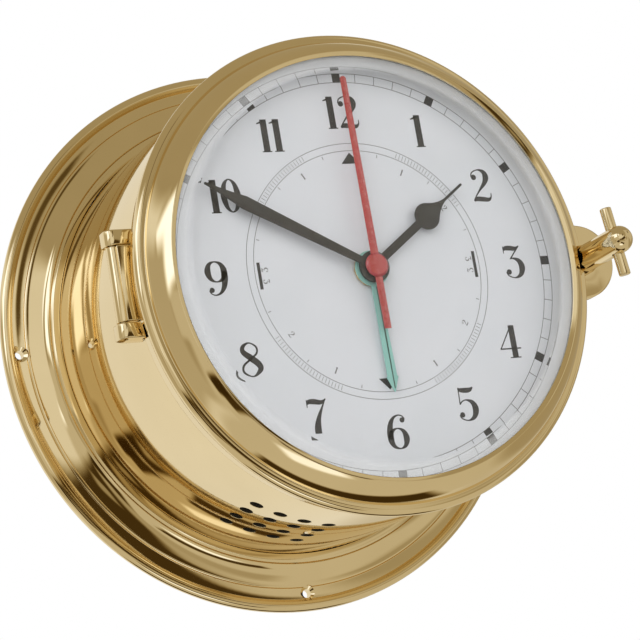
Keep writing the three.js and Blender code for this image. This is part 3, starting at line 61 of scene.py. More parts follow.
# How far a tool runs past the piece that it cuts
CUT = 1


# Measures taken from the frame


def ends(node):
    """Lowest and highest corner of a CAD node, in millimetres."""
    low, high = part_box(node)
    return low / MM, high / MM


def depths(node):
    """Back and front depth of a CAD node."""
    low, high = ends(node)
    return -high.y, -low.y


def middle(node):
    """Centre of a CAD node as seen from the front."""
    low, high = ends(node)
    return (low.x + high.x) / 2, (low.z + high.z) / 2


def middle_depth(node):
    return sum(depths(node)) / 2


def half_size(node):
    """Half the width and half the height of a CAD node as seen from the front."""
    low, high = ends(node)
    return (high.x - low.x) / 2, (high.z - low.z) / 2


FLANGE_RADIUS = ends("base_flange")[1].x
FLANGE_TOP = depths("base_flange")[1]
DRUM_RADIUS = ends("case_drum")[1].x
DRUM_BACK, DRUM_MOUTH = depths("case_drum")
SKIRT_BACK, LIP_FRONT = depths("bezel_ring")
BEAD_OUTER = ends("bezel_ring")[1].z
GLASS_RADIUS = ends("bezel_glass")[1].x
GLASS_BACK, GLASS_FRONT = depths("bezel_glass")
DIAL_RADIUS = ends("dial_plate")[1].x
DIAL_FOOT_BACK, DIAL_FACE = depths("dial_plate")
SCREW_X = middle("thumbscrew_washer")[0]
HINGE_X, HINGE_Z = middle("hinge_pin")
HINGE_DEPTH = middle_depth("hinge_pin")

# Case
DRUM_WALL = 1.6
VENT_RADIUS = 2.1
VENT_CHAMFER = 0.1
VENT_PITCH = 8
VENT_COUNT = 4
VENT_ANGLE = 200
VENT_FRONT_DEPTH = 53.9
RIM_BEAD = 2
RIM_BEAD_DEPTH = 3.3
RIM_BEAD_ARC = (-60, 165)
CHANNEL_WIDTH = 3.5
CHANNEL_DEPTH = 3.7
CHANNEL_FALL = 0.28
INNER_BEAD = 1
INNER_BEAD_ARC = (30, 90)
COVE_RISE = 1.4
SEAM_GAP = 0.02
FOOT_WIDTH = 2.8
FOOT_CHAMFER = 0.7
SCREW_HOLE_RADIUS = 1.4
COUNTERSINK_RADIUS = 2.5
COUNTERSINK_DEPTH = 0.8
SEAT_GAP = 0.25
EDGE_ROUND = 0.3
SOFT_ROUND = 0.25
SMALL_ROUND = 0.2

# Bezel and glass
SKIRT_STEP = 0.6
SKIRT_LENGTH = 6.4
SKIRT_WALL = 2.6
BEZEL_BEAD = 2
GROOVE_DROP = 0.7
FACE_BULGE = 0.9
LIP_THICKNESS = 1.2
LIP_CREST = 1.3
GLASS_OVERLAP = 2
GLASS_RIM = 1.8
GLASS_SHARP_DEGREES = 5
BEVEL_WIDTH = 4.8
GASKET_WIDTH = 1.3
SNAP_GROOVE = 0.9
SNAP_SPLIT = 5
EAR_RADIUS = 11.8
EAR_FILLET = 8
EAR_LIFT = 0.8
EAR_THICKNESS = 5
EAR_ROUND = 0.7

# Thumbscrew and hinge
LUG_RADIUS = 10.5
LUG_BORE_ROOM = 0.7
LUG_MOUTH_ROOM = 0.2
SHANK_RADIUS = 2.5
SHANK_TIP_SHARE = 0.6
HOLE_CLEARANCE = 0.4
COLLAR_WIDTH = 2.2
COLLAR_LENGTH = 1.1
CLIP_WIDTH = 1.2
HEAD_RADIUS = 4.2
SHOULDER = 1
BAR_RADIUS = 1.8
BAR_ROUND = 0.5
BAR_TILT = -6.9
HINGE_EYE = 2.6
HINGE_ROUND = 0.45
HINGE_LUG_LENGTH = 7.4
HINGE_ROOM = 0.6
KNUCKLE_RADIUS = 2.1
LEAF_THICKNESS = 2.6

# Dial seat and movement
SEAT_INSET = 0.2
SEAT_WALL = 2
SEAT_WIDTH = 8
SEAT_THICKNESS = 1.6
DIAL_THICKNESS = 1
DIAL_FOOT_RADIUS = 0.9
DIAL_FOOT_INSET = 2.6
BUSH_RADIUS = 3.8
FRONT_SHELL = 1.8
SHELL_WALL = 1.6
SHELL_CORNER = 5
SHELL_ROUND = 0.5
CELL_GAP = 0.6
CELL_BASE = 0.7
CELL_SHOULDER = 0.9
CELL_NUB_RADIUS = 2.6
CELL_NUB_LENGTH = 1.2
WHEEL_POST = 0.4
BOSS_RADIUS = 1.5
BOSS_MARGIN = 3
BOSS_EDGE = 2
SPINDLE_RADIUS = 1.5
SPINDLE_START = 2
KNOB_FLUTES = 8
FLUTE_STEPS = 8
FLUTE_DEPTH = 0.45
KNOB_ROUND = 0.4
TURN_GAP = 0.3

# Hands
TIDE_ANGLE = 179
HOUR_ANGLE = 54.6
MINUTE_ANGLE = 299
SECOND_ANGLE = -0.4
HAND_ROUND = 0.12
MINUTE_TIP_GAP = 7.1
SECOND_TIP_GAP = 5.6
SECOND_EDGE = 0.12
SECOND_HUB = 3.7
SECOND_DOME = 3.0
SECOND_DOME_FALL = 0.15
SECOND_DOME_TOP = 1.6
STRIPE_SINK = 0.1
STRIPE_RISE = 0.03

# Dial print
INK_THICKNESS = 0.04
TRACK_INNER = 59.3
TRACK_OUTER = 62.1
TRACK_LINE = 0.2
MARK_WIDTH = 2.7
NUMERAL_HEIGHT = 10.4
NUMERAL_CIRCLE = 49.8
TRIANGLE_BASE = 33.4
TRIANGLE_TIP = 36.9
TRIANGLE_HALF = 3.1
BRACKET_INNER = 35.5
BRACKET_OUTER = 36.5
BRACKET_HALF = 4.1
TIDE_RING_INNER = 37.5
TIDE_RING_OUTER = 39.8
TIDE_LINE = 0.18
TIDE_HOUR_DEGREES = 29
TIDE_MARK = (36.0, 37.0)
TIDE_TICKS = 24
TIDE_TICK_START = 24
TIDE_TICK_STEP = 1.6
TIDE_TICK_INSET = 0.4
TIDE_TICK_LINE = 0.14
SMALL_NUMERAL_HEIGHT = 2.1
SMALL_NUMERAL_CIRCLE = 34.2


# Outlines


def arc(centre_x, centre_y, radius, start, end, steps):
    """Points on an arc, angles in degrees from +x towards +y."""
    angles = (math.radians(start + (end - start) * i / steps) for i in range(steps + 1))
    return [(centre_x + radius * math.cos(a), centre_y + radius * math.sin(a)) for a in angles]


def bend(start, control, end, steps):
    """Points on a quadratic curve."""
    points = []
    for i in range(steps + 1):
        t = i / steps
        weights = ((1 - t) ** 2, 2 * t * (1 - t), t * t)
        shares = list(zip(weights, (start, control, end)))
        points.append(tuple(sum(w * p[k] for w, p in shares) for k in (0, 1)))
    return points


def soften(outline, radius, least_turn=25, steps=4):
    """Rounds the corners of a closed outline that turn by more than least_turn degrees."""
    soft = []
    for i, corner in enumerate(outline):
        here = Vector(corner)
        before = Vector(outline[i - 1]) - here
        after = Vector(outline[(i + 1) % len(outline)]) - here
        turn = math.pi - before.angle(after)
        if math.degrees(turn) < least_turn or corner[0] == 0:
            soft.append(corner)
            continue
        reach = min(radius * math.tan(turn / 2), CORNER_SHARE * before.length, CORNER_SHARE * after.length)
        start = here + before.normalized() * reach
        end = here + after.normalized() * reach
        soft.extend(bend(start, here, end, steps))
    return soft


def clock_point(radius, degrees):
    angle = math.radians(degrees)
    return radius * math.sin(angle), radius * math.cos(angle)


def ring_outline(inner, outer, back, front, edge=0.15):
    return soften([(inner, back), (outer, back), (outer, front), (inner, front)], edge)


def plug(radius, back, front):
    """Outline of a plain round bar."""
    return [(0, back), (radius, back), (radius, front), (0, front)]


def stepped(narrow, wide, start, narrow_end, wide_start, end):
    """Outline of a round bar that widens part of the way along."""
    return [(0, start), (narrow, start), (narrow, narrow_end), (wide, wide_start), (wide, end), (0, end)]


def box_outline(left, right, bottom, top):
    return [(left, bottom), (right, bottom), (right, top), (left, top)]


# Meshes


def rotation(degrees, axis="Y"):
    """A turn about an axis; about Y it goes clockwise as seen from the front."""
    return Matrix.Rotation(math.radians(degrees), 4, axis)


def shift(x=0, depth=0, z=0):
    return Matrix.Translation((x * MM, -depth * MM, z * MM))


def corner_at(bm, x, depth, z):
    return bm.verts.new((x * MM, -depth * MM, z * MM))


def smooth_faces(mesh, sharp=SHARP_DEGREES):
    for polygon in mesh.polygons:
        polygon.use_smooth = True
    mesh.set_sharp_from_angle(angle=math.radians(sharp))


def add_object(name, data):
    obj = bpy.data.objects.new(name, data)
    scene.collection.objects.link(obj)
    return obj


def to_object(name, bm):
    bmesh.ops.recalc_face_normals(bm, faces=bm.faces)
    mesh = bpy.data.meshes.new(name)
    bm.to_mesh(mesh)
    bm.free()
    smooth_faces(mesh)
    return add_object(name, mesh)


def lathe(name, outline, sides=RING_SIDES):
    """Turns a closed outline of (radius, depth) points about the clock's axis."""
    bm = bmesh.new()
    turns = [2 * math.pi * k / sides for k in range(sides)]
    rings = []
    for radius, depth in outline:
        around = turns if radius > TINY else turns[:1]
        rings.append([corner_at(bm, radius * math.sin(a), depth, radius * math.cos(a)) for a in around])
    for here, there in zip(rings, rings[1:] + rings[:1]):
        for k in range(sides):
            after = (k + 1) % sides
            corners = [here[k % len(here)], here[after % len(here)]]
            corners += [there[after % len(there)], there[k % len(there)]]
            corners = list(dict.fromkeys(corners))
            if len(corners) > 2:
                bm.faces.new(corners)
    return to_object(name, bm)


def loft(bm, columns, closed=False):
    """Joins rows of corners with faces, and shuts both ends of an open row."""
    count = len(columns[0])
    pairs = list(zip(columns, columns[1:]))
    if closed:
        pairs.append((columns[-1], columns[0]))
    for here, there in pairs:
        for k in range(count):
            after = (k + 1) % count
            bm.faces.new((here[k], here[after], there[after], there[k]))
    if not closed:
        bm.faces.new(columns[0])
        bm.faces.new(columns[-1][::-1])


def prism_into(bm, outline, low, high, place):
    bottom = [bm.verts.new(Vector(place(u, v, low)) * MM) for u, v in outline]
    top = [bm.verts.new(Vector(place(u, v, high)) * MM) for u, v in outline]
    bm.faces.new(top)
    bm.faces.new(bottom[::-1])
    for i in range(len(outline)):
        after = (i + 1) % len(outline)
        bm.faces.new((bottom[i], bottom[after], top[after], top[i]))


def towards_front(x, z, depth):
    return x, -depth, z


def upwards(x, depth, z):
    return x, -depth, z


def prism(name, outline, low, high, place=towards_front, edge=0.0, steps=3):
    """Extrudes a closed outline between two depths, or two heights, with its edges rounded."""
    bm = bmesh.new()
    prism_into(bm, outline, low, high, place)
    bmesh.ops.recalc_face_normals(bm, faces=bm.faces)
    if edge:
        folds = [e for e in bm.edges if e.calc_face_angle(0) > math.radians(FOLD_DEGREES)]
        bmesh.ops.bevel(
            bm, geom=folds, offset=edge * MM, segments=steps, profile=0.5, affect="EDGES",
            clamp_overlap=True,
        )
    return to_object(name, bm)


def move(obj, x=0, z=0, matrix=None):
    if matrix is not None:
        obj.data.transform(matrix)
    obj.data.transform(shift(x, 0, z))
    return obj


def rod(name, radius, back, front, place=(0, 0), sides=SMALL_SIDES):
    """A plain round rod between two depths."""
    return move(lathe(name, plug(radius, back, front), sides), *place)


def carve(obj, *tools, operation="DIFFERENCE"):
    """Cuts the tools out of a piece, or adds them to it, and removes them."""
    for tool in tools:
        modifier = obj.modifiers.new("carve", "BOOLEAN")
        modifier.object = tool
        modifier.operation = operation
        modifier.solver = "EXACT"
    bpy.context.view_layer.update()
    graph = bpy.context.evaluated_depsgraph_get()
    mesh = bpy.data.meshes.new_from_object(obj.evaluated_get(graph))
    obj.modifiers.clear()
    obj.data = mesh
    for tool in tools:
        bpy.data.objects.remove(tool)
    smooth_faces(mesh)
    return obj


def join(obj, *tools):
    return carve(obj, *tools, operation="UNION")


SAME_SURFACE_DEGREES = 20
TILT_WEIGHT = 0.01


def outline_normals(outline):
    """For each side of a closed outline its start, end and the smooth normals there, turned outwards."""
    points = np.array(outline, float)
    following = np.roll(points, -1, axis=0)
    keep = np.linalg.norm(following - points, axis=1) > TINY
    points, following = points[keep], following[keep]
    along = following - points
    lengths = np.linalg.norm(along, axis=1)
    area = np.sum(points[:, 0] * following[:, 1] - following[:, 0] * points[:, 1])
    side = math.copysign(1, area)
    flat = np.stack([along[:, 1], -along[:, 0]], axis=1) * (side / lengths)[:, None]

    def shared(neighbour):
        smooth = np.sum(flat * neighbour, axis=1) > math.cos(math.radians(SHARP_DEGREES))
        mixed = np.where(smooth[:, None], flat + neighbour, flat)
        return mixed / np.linalg.norm(mixed, axis=1)[:, None]

    return points, following, flat, *(shared(np.roll(flat, step, axis=0)) for step in (1, -1))


def settle_normals(obj, outline, tolerance=0.03):
    """Gives the faces that remain of a turned surface the exact normals of that surface after a cut."""
    mesh = obj.data
    index = np.empty(len(mesh.loops), np.int32)
    mesh.loops.foreach_get("vertex_index", index)
    places = np.empty(len(mesh.vertices) * 3)
    mesh.vertices.foreach_get("co", places)
    place = places.reshape(-1, 3)[index] / MM
    sizes = np.array([polygon.loop_total for polygon in mesh.polygons])
    facing = np.repeat(np.array([polygon.normal[:] for polygon in mesh.polygons]), sizes, axis=0)
    normals = np.array([corner.vector[:] for corner in mesh.corner_normals])
    radius = np.hypot(place[:, 0], place[:, 2])
    radial = place[:, (0, 2)] / np.maximum(radius, TINY)[:, None]
    here = np.stack([radius, -place[:, 1]], axis=1)
    tilt = np.stack([np.sum(facing[:, (0, 2)] * radial, axis=1), -facing[:, 1]], axis=1)
    best = np.full(len(index), np.inf)
    chosen = np.zeros((len(index), 2))
    for start, end, flat, first, last in zip(*outline_normals(outline)):
        along = end - start
        share = np.clip((here - start) @ along / (along @ along), 0, 1)
        gap = np.linalg.norm(here - start - share[:, None] * along, axis=1)
        facing_alike = tilt @ flat > math.cos(math.radians(SAME_SURFACE_DEGREES))
        score = np.where(facing_alike, gap + TILT_WEIGHT * (1 - tilt @ flat), np.inf)
        better = score < best
        best = np.where(better, score, best)
        mixed = first + (last - first) * share[:, None]
        chosen = np.where(better[:, None], mixed, chosen)
    turned = np.stack([chosen[:, 0] * radial[:, 0], -chosen[:, 1], chosen[:, 0] * radial[:, 1]], axis=1)
    turned /= np.maximum(np.linalg.norm(turned, axis=1), TINY)[:, None]
    normals = np.where((best < tolerance)[:, None], turned, normals)
    mesh.normals_split_custom_set(normals.tolist())
    return obj


# Finishes
NOISE_RANGE = (0.3, 0.7)
METAL_TONE_SCALE = 35
METAL_POLISH_SCALE = 90
METAL_SWELL_SCALE = 45
LATHE_LINE_SCALE = 2600
LATHE_LINE_STRENGTH = 0.6
PAINT_ROUGH_SPREAD = 0.05
PAINT_POLISH_RATIO = 3
# Painted shade for the inside of the drum: its dark colour, its roughness and how soft its edge is
PAINTED_SHADE_COLOUR = (0.030, 0.022, 0.012, 1)
PAINTED_SHADE_ROUGHNESS = 0.7
PAINTED_SHADE_EDGE = 0.05
GLASS_TINTS = ((0.985, 0.99, 0.988), (0.97, 0.98, 0.976))
GLASS_TONE_SCALE = 20
GLASS_WAVE_SCALE = 25
GLASS_WAVE = 2e-6
GLASS_INDEX = 1.5
GLASS_SHEEN = (0.36, 0.38, 0.42, 1)
# Painted highlight on the bevel: the share of white diffuse there, and how soft its inner edge is
BEVEL_PAINTED_HIGHLIGHT = 0.2
BEVEL_HIGHLIGHT_EDGE = 1.5


def give(tree, socket, value):
    """Sets a socket to a value, or feeds it from another node's output."""
    if isinstance(value, bpy.types.NodeSocket):
        tree.links.new(value, socket)
    else:
        socket.default_value = value


def feed(tree, target, sockets):
    for key, value in sockets.items():
        give(tree, target.inputs[key], value)


def add_node(tree, kind, sockets=None, **settings):
    made = tree.nodes.new(f"ShaderNode{kind}")
    for name, value in settings.items():
        setattr(made, name, value)
    feed(tree, made, sockets or {})
    return made


def place_of(tree):
    return add_node(tree, "TexCoord").outputs["Object"]


def finish(name):
    """A new material with its node tree, main shader and places on the object."""
    made = bpy.data.materials.new(name)
    made.use_nodes = True
    tree = made.node_tree
    return made, tree, tree.nodes["Principled BSDF"], place_of(tree)


def noise(tree, vector, scale, detail):
    sockets = {"Vector": vector, "Scale": scale, "Detail": detail}
    return add_node(tree, "TexNoise", sockets).outputs["Fac"]


def ramp(tree, value, start, end, low=0, high=1, kind="LINEAR"):
    """Maps a value's run from start to end to one from low to high."""
    sockets = {"Value": value, "From Min": start, "From Max": end, "To Min": low, "To Max": high}
    return add_node(tree, "MapRange", sockets, interpolation_type=kind).outputs["Result"]


def mix(tree, share, first, second, kind):
    """Goes from the first value to the second by a share."""
    made = add_node(tree, "Mix", data_type=kind)
    sockets = [socket for socket in made.inputs if socket.enabled]
    for socket, value in zip(sockets, (share, first, second)):
        give(tree, socket, value)
    return next(socket for socket in made.outputs if socket.enabled)


def tones(tree, place, scale, colour, shade, detail=4):
    """Two close tones in soft clouds."""
    share = ramp(tree, noise(tree, place, scale, detail), *NOISE_RANGE)
    return mix(tree, share, (*colour, 1), (*shade, 1), "RGBA")


def bump(tree, height, distance, strength=1.0, **under):
    sockets = {"Height": height, "Distance": distance, "Strength": strength} | under
    return add_node(tree, "Bump", sockets).outputs["Normal"]


def axis_distance(tree, place):
    """Distance from the clock's axis, and place along it."""
    split = add_node(tree, "SeparateXYZ", {0: place}).outputs
    across = add_node(tree, "CombineXYZ", {"X": split["X"], "Y": split["Z"]}).outputs[0]
    radius = add_node(tree, "VectorMath", {0: across}, operation="LENGTH")
    return radius.outputs["Value"], split["Y"]


def metal(name, colour, shade, rough_low, rough_high, wave, lines, slot=None):
    """Polished metal: two close tones, uneven polish, a slight waviness and fine lathe lines."""
    made, tree, shader, place = finish(name)
    radius, along = axis_distance(tree, place)
    turning = add_node(tree, "CombineXYZ", {"X": radius, "Y": along}).outputs[0]
    line_noise = noise(tree, turning, LATHE_LINE_SCALE, detail=3)
    swell = bump(tree, noise(tree, place, METAL_SWELL_SCALE, detail=1), wave)
    polish = noise(tree, place, METAL_POLISH_SCALE, detail=5)
    feed(tree, shader, {
        "Base Color": tones(tree, place, METAL_TONE_SCALE, colour, shade),
        "Roughness": ramp(tree, polish, *NOISE_RANGE, rough_low, rough_high),
        "Normal": bump(tree, line_noise, lines, LATHE_LINE_STRENGTH, Normal=swell),
        "Metallic": 1,
    })
    return made, slot or name


def dull_inside(made, radius):
    """Paints shade on a metal: dark and matt nearer to the clock's axis than a radius, where little light
    gets in.
    """
    tree = made.node_tree
    inputs = tree.nodes["Principled BSDF"].inputs
    distance = axis_distance(tree, place_of(tree))[0]
    outside = ramp(tree, distance, (radius - PAINTED_SHADE_EDGE) * MM, radius * MM)
    give(tree, inputs["Metallic"], outside)
    for name, shaded, kind in (("Base Color", PAINTED_SHADE_COLOUR, "RGBA"), ("Roughness", PAINTED_SHADE_ROUGHNESS, "FLOAT")):
        bright = inputs[name].links[0].from_socket
        give(tree, inputs[name], mix(tree, outside, shaded, bright, kind))


def paint(name, colour, shade, roughness, grain_scale, grain_depth, tone_scale=60, coat=0.0, slot=None):
    """Lacquer or moulded plastic: two close tones and a fine grain."""
    made, tree, shader, place = finish(name)
    rough = (roughness - PAINT_ROUGH_SPREAD, roughness + PAINT_ROUGH_SPREAD)
    polish = noise(tree, place, grain_scale / PAINT_POLISH_RATIO, detail=3)
    feed(tree, shader, {
        "Base Color": tones(tree, place, tone_scale, colour, shade),
        "Roughness": ramp(tree, polish, *NOISE_RANGE, *rough),
        "Normal": bump(tree, noise(tree, place, grain_scale, detail=2), grain_depth),
        "Coat Weight": coat,
    })
    return made, slot or name


def clear_glass(name, bevel_radius):
    """Clear glass whose bevel is partly white and diffuse: a painted highlight for the bright ring of the
    bevel.
    """
    made, tree, shader, place = finish(name)
    bevel = (bevel_radius * MM, (bevel_radius + BEVEL_HIGHLIGHT_EDGE) * MM)
    feed(tree, shader, {
        "Base Color": tones(tree, place, GLASS_TONE_SCALE, *GLASS_TINTS, detail=2),
        "Normal": bump(tree, noise(tree, place, GLASS_WAVE_SCALE, detail=1), GLASS_WAVE),
        "Roughness": 0,
        "IOR": GLASS_INDEX,
        "Specular Tint": GLASS_SHEEN,
        # The bevel turns partly diffuse white: a painted highlight
        "Transmission Weight": ramp(tree, axis_distance(tree, place)[0], *bevel, 1, 1 - BEVEL_PAINTED_HIGHLIGHT),
    })
    return made, name


# Each finish is a material and the name of a slot
BRASS_LOOK = ((0.88, 0.735, 0.46), (0.83, 0.69, 0.425), 0.03, 0.06, 3e-5, 1.2e-6)
POLISHED = metal("polished_brass", *BRASS_LOOK)
CASE_BRASS_SHADED = metal("case_brass_painted_shade", *BRASS_LOOK, slot="polished_brass")
# Painted shade: the inside of the drum and the walls of its vents are coloured dark and matt, where little
# light gets in
dull_inside(CASE_BRASS_SHADED[0], DRUM_RADIUS - VENT_CHAMFER)
TURNED = metal("turned_brass", (0.82, 0.62, 0.31), (0.74, 0.53, 0.25), 0.16, 0.26, 3e-5, 5e-6)
STEEL = metal("steel", (0.60, 0.61, 0.63), (0.52, 0.53, 0.55), 0.2, 0.32, 3e-5, 4e-6)
GLASS = clear_glass("bevelled_glass", GLASS_RADIUS - GLASS_OVERLAP - BEVEL_WIDTH)
RUBBER = paint("black_rubber", (0.016, 0.016, 0.017), (0.024, 0.024, 0.025), 0.75, 900, 3e-5)
WHITE = paint("dial_white", (0.82, 0.83, 0.87), (0.79, 0.805, 0.845), 0.42, 1600, 3e-6)
INK = paint("dial_ink", (0.020, 0.019, 0.021), (0.028, 0.027, 0.029), 0.5, 2200, 3e-6, slot="dial_white")
GREY_INK = paint("dial_line", (0.20, 0.195, 0.20), (0.24, 0.235, 0.24), 0.5, 2200, 3e-6, slot="dial_white")
BLACK = paint("hand_black", (0.020, 0.019, 0.019), (0.026, 0.025, 0.025), 0.46, 1500, 4e-6)
RED = paint("hand_red", (0.42, 0.024, 0.034), (0.37, 0.019, 0.028), 0.26, 1500, 3e-6, coat=0.7)
AQUA = paint("hand_aqua", (0.31, 0.61, 0.55), (0.28, 0.57, 0.51), 0.36, 1500, 3e-6)
AQUA_LINE = paint(
    "hand_line", (0.030, 0.085, 0.070), (0.040, 0.10, 0.085), 0.45, 1500, 3e-6, slot="hand_aqua",
)
BLACK_PLASTIC = paint("black_plastic", (0.018, 0.018, 0.020), (0.026, 0.026, 0.028), 0.5, 1100, 2.5e-5)
GREY_PLASTIC = paint("grey_plastic", (0.27, 0.28, 0.29), (0.23, 0.24, 0.25), 0.48, 1100, 2e-5)
NYLON = paint("white_nylon", (0.76, 0.74, 0.68), (0.70, 0.68, 0.62), 0.5, 1100, 1e-5)
COPPER = metal("copper_wire", (0.78, 0.40, 0.20), (0.66, 0.31, 0.14), 0.25, 0.4, 3e-5, 2e-5)
BOARD = paint("board_green", (0.028, 0.14, 0.062), (0.022, 0.11, 0.050), 0.45, 800, 1e-5)
JACKET = paint("cell_jacket", (0.10, 0.13, 0.17), (0.085, 0.11, 0.145), 0.3, 700, 1e-5, coat=0.5)


def dress(obj, body, look, *nodes):
    """Gives a new piece its finish and its body, and hides the CAD nodes that it stands for."""
    material, slot = look
    obj.data.materials.clear()
    obj.data.materials.append(material)
    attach(obj, body)
    if nodes:
        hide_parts(*nodes)
    return obj


def coat_node(look, *nodes):
    """Gives CAD nodes that stay their finish."""
    for name in nodes:
        for material_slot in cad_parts[name].material_slots:
            material_slot.material = look[0]


# Base flange
channel_outer = FLANGE_RADIUS - 2 * RIM_BEAD
channel_inner = channel_outer - CHANNEL_WIDTH
inner_bead_centre = channel_inner - INNER_BEAD
inner_bead_top = CHANNEL_DEPTH + INNER_BEAD
foot_radius = DRUM_RADIUS + FOOT_WIDTH
flange_bore = DRUM_RADIUS + SEAT_GAP
seam_radius = DRUM_RADIUS + SEAM_GAP
flange_outline = soften([
    (seam_radius, 0),
    (FLANGE_RADIUS - RIM_BEAD, 0),
    *arc(FLANGE_RADIUS - RIM_BEAD, RIM_BEAD_DEPTH, RIM_BEAD, *RIM_BEAD_ARC, steps=24),
    (channel_outer, CHANNEL_DEPTH - CHANNEL_FALL),
    (channel_inner, CHANNEL_DEPTH + CHANNEL_FALL),
    *arc(inner_bead_centre, CHANNEL_DEPTH, INNER_BEAD, *INNER_BEAD_ARC, steps=8),
    *bend(
        (inner_bead_centre, inner_bead_top),
        (foot_radius, inner_bead_top + COVE_RISE),
        (foot_radius, FLANGE_TOP - FOOT_CHAMFER),
        steps=12,
    )[1:],
    (foot_radius - FOOT_CHAMFER, FLANGE_TOP),
    (seam_radius, FLANGE_TOP),
], EDGE_ROUND)
flange = lathe("flange", flange_outline)
hole_outline = stepped(
    SCREW_HOLE_RADIUS, COUNTERSINK_RADIUS, -2 * CUT,
    CHANNEL_DEPTH - COUNTERSINK_DEPTH, CHANNEL_DEPTH, CHANNEL_DEPTH + 2 * RIM_BEAD,
)
hole_circle = (channel_outer + channel_inner) / 2
hole_tools = []
for quarter in range(4):
    tool = lathe("hole_tool", hole_outline, SMALL_SIDES)
    hole_tools.append(move(tool, *clock_point(hole_circle, 90 * quarter)))
settle_normals(carve(flange, *hole_tools), flange_outline)
dress(flange, "case", POLISHED, "base_flange")

# Case drum with its vents
drum_bore = DRUM_RADIUS - DRUM_WALL
drum_outline = ring_outline(drum_bore, DRUM_RADIUS, DRUM_BACK, DRUM_MOUTH, EDGE_ROUND)
drum = lathe("drum", drum_outline)
vent_outline = stepped(
    VENT_RADIUS, VENT_RADIUS + VENT_CHAMFER, 2 * CUT - drum_bore,
    VENT_CHAMFER - DRUM_RADIUS, -DRUM_RADIUS, -DRUM_RADIUS - 2 * CUT,
)
stand_up = rotation(90, "X")
vent_tools = []
for row in range(VENT_COUNT):
    for column in range(VENT_COUNT):
        off_middle = (column - (VENT_COUNT - 1) / 2) * VENT_PITCH
        turn = rotation(VENT_ANGLE + math.degrees(off_middle / DRUM_RADIUS))
        placed = turn @ shift(depth=VENT_FRONT_DEPTH - row * VENT_PITCH) @ stand_up
        vent_tools.append(move(lathe("vent_tool", vent_outline, SMALL_SIDES), matrix=placed))
settle_normals(carve(drum, *vent_tools), drum_outline)
dress(drum, "case", CASE_BRASS_SHADED, "case_drum")

# Bezel ring with its ear
skirt_radius = DRUM_RADIUS + SKIRT_STEP
skirt_bore = skirt_radius - SKIRT_WALL
skirt_front = SKIRT_BACK + SKIRT_LENGTH
bead_centre = BEAD_OUTER - BEZEL_BEAD
bead_depth = skirt_front + BEZEL_BEAD
groove = (skirt_radius - GROOVE_DROP, bead_depth + BEZEL_BEAD)
lip_radius = GLASS_RADIUS - GLASS_OVERLAP
crest = (lip_radius + LIP_CREST, LIP_FRONT)
face_run = (crest[0] - groove[0], crest[1] - groove[1])
face_length = math.hypot(*face_run)
face_control = (
    (groove[0] + crest[0]) / 2 + 2 * FACE_BULGE * face_run[1] / face_length,
    (groove[1] + crest[1]) / 2 - 2 * FACE_BULGE * face_run[0] / face_length,
)
glass_bore = GLASS_RADIUS + SEAT_GAP
lip_back = LIP_FRONT - LIP_THICKNESS
snap_back, snap_front = depths("glass_snap_ring")
snap_groove = (snap_back - SEAT_GAP, snap_front + SEAT_GAP)
bezel_outline = soften([
    (skirt_bore, SKIRT_BACK),
    (skirt_radius, SKIRT_BACK),
    (skirt_radius, skirt_front),
    *arc(bead_centre, bead_depth, BEZEL_BEAD, -90, 90, steps=24),
    *bend(groove, face_control, crest, steps=20),
    (lip_radius, LIP_FRONT - LIP_THICKNESS / 2),
    (lip_radius, lip_back),
    (glass_bore, lip_back),
    (glass_bore, snap_groove[1]),
    (glass_bore + SNAP_GROOVE, snap_groove[1]),
    (glass_bore + SNAP_GROOVE, snap_groove[0]),
    (glass_bore, snap_groove[0]),
    (skirt_bore, snap_groove[0] - (skirt_bore - glass_bore)),
], EDGE_ROUND)


def ear_outline(ring_radius, ear_radius, root):
    """Outline of a round ear that flows into a ring with concave fillets."""
    reach, span = ring_radius + EAR_FILLET, ear_radius + EAR_FILLET
    fillet_x = (SCREW_X ** 2 + reach ** 2 - span ** 2) / (2 * SCREW_X)
    fillet_z = math.sqrt(reach ** 2 - fillet_x ** 2)
    on_ring = math.degrees(math.atan2(fillet_z, fillet_x))
    on_ear = math.degrees(math.atan2(fillet_z, fillet_x - SCREW_X))
    upper = arc(fillet_x, fillet_z, EAR_FILLET, on_ear - 180, on_ring - 180, steps=12)
    lower = [(x, -z) for x, z in reversed(upper)]
    root_z, root_x = clock_point(root, on_ring)
    tip = arc(SCREW_X, 0, ear_radius, -on_ear, on_ear, steps=40)[1:-1]
    return [(root_x, -root_z), *lower, *tip, *upper, (root_x, root_z)]


ear_back = SKIRT_BACK + EAR_LIFT
ear_front = ear_back + EAR_THICKNESS
ear_root = skirt_radius - SKIRT_WALL / 2
bezel = lathe("bezel", bezel_outline)
ear = prism("ear", ear_outline(bead_centre, EAR_RADIUS, ear_root), ear_back, ear_front, edge=EAR_ROUND)
carve(ear, rod("ear_core", ear_root, ear_back - CUT, ear_front + CUT, sides=RING_SIDES))
join(bezel, ear)
collar_radius = SHANK_RADIUS + COLLAR_WIDTH
relief = lathe("relief_tool", stepped(
    SHANK_RADIUS + HOLE_CLEARANCE, collar_radius + HOLE_CLEARANCE,
    ear_back - CUT, ear_front, ear_front, LIP_FRONT,
), ROUND_SIDES)
settle_normals(carve(bezel, move(relief, SCREW_X)), bezel_outline)
dress(bezel, "bezel", POLISHED, "bezel_ring")

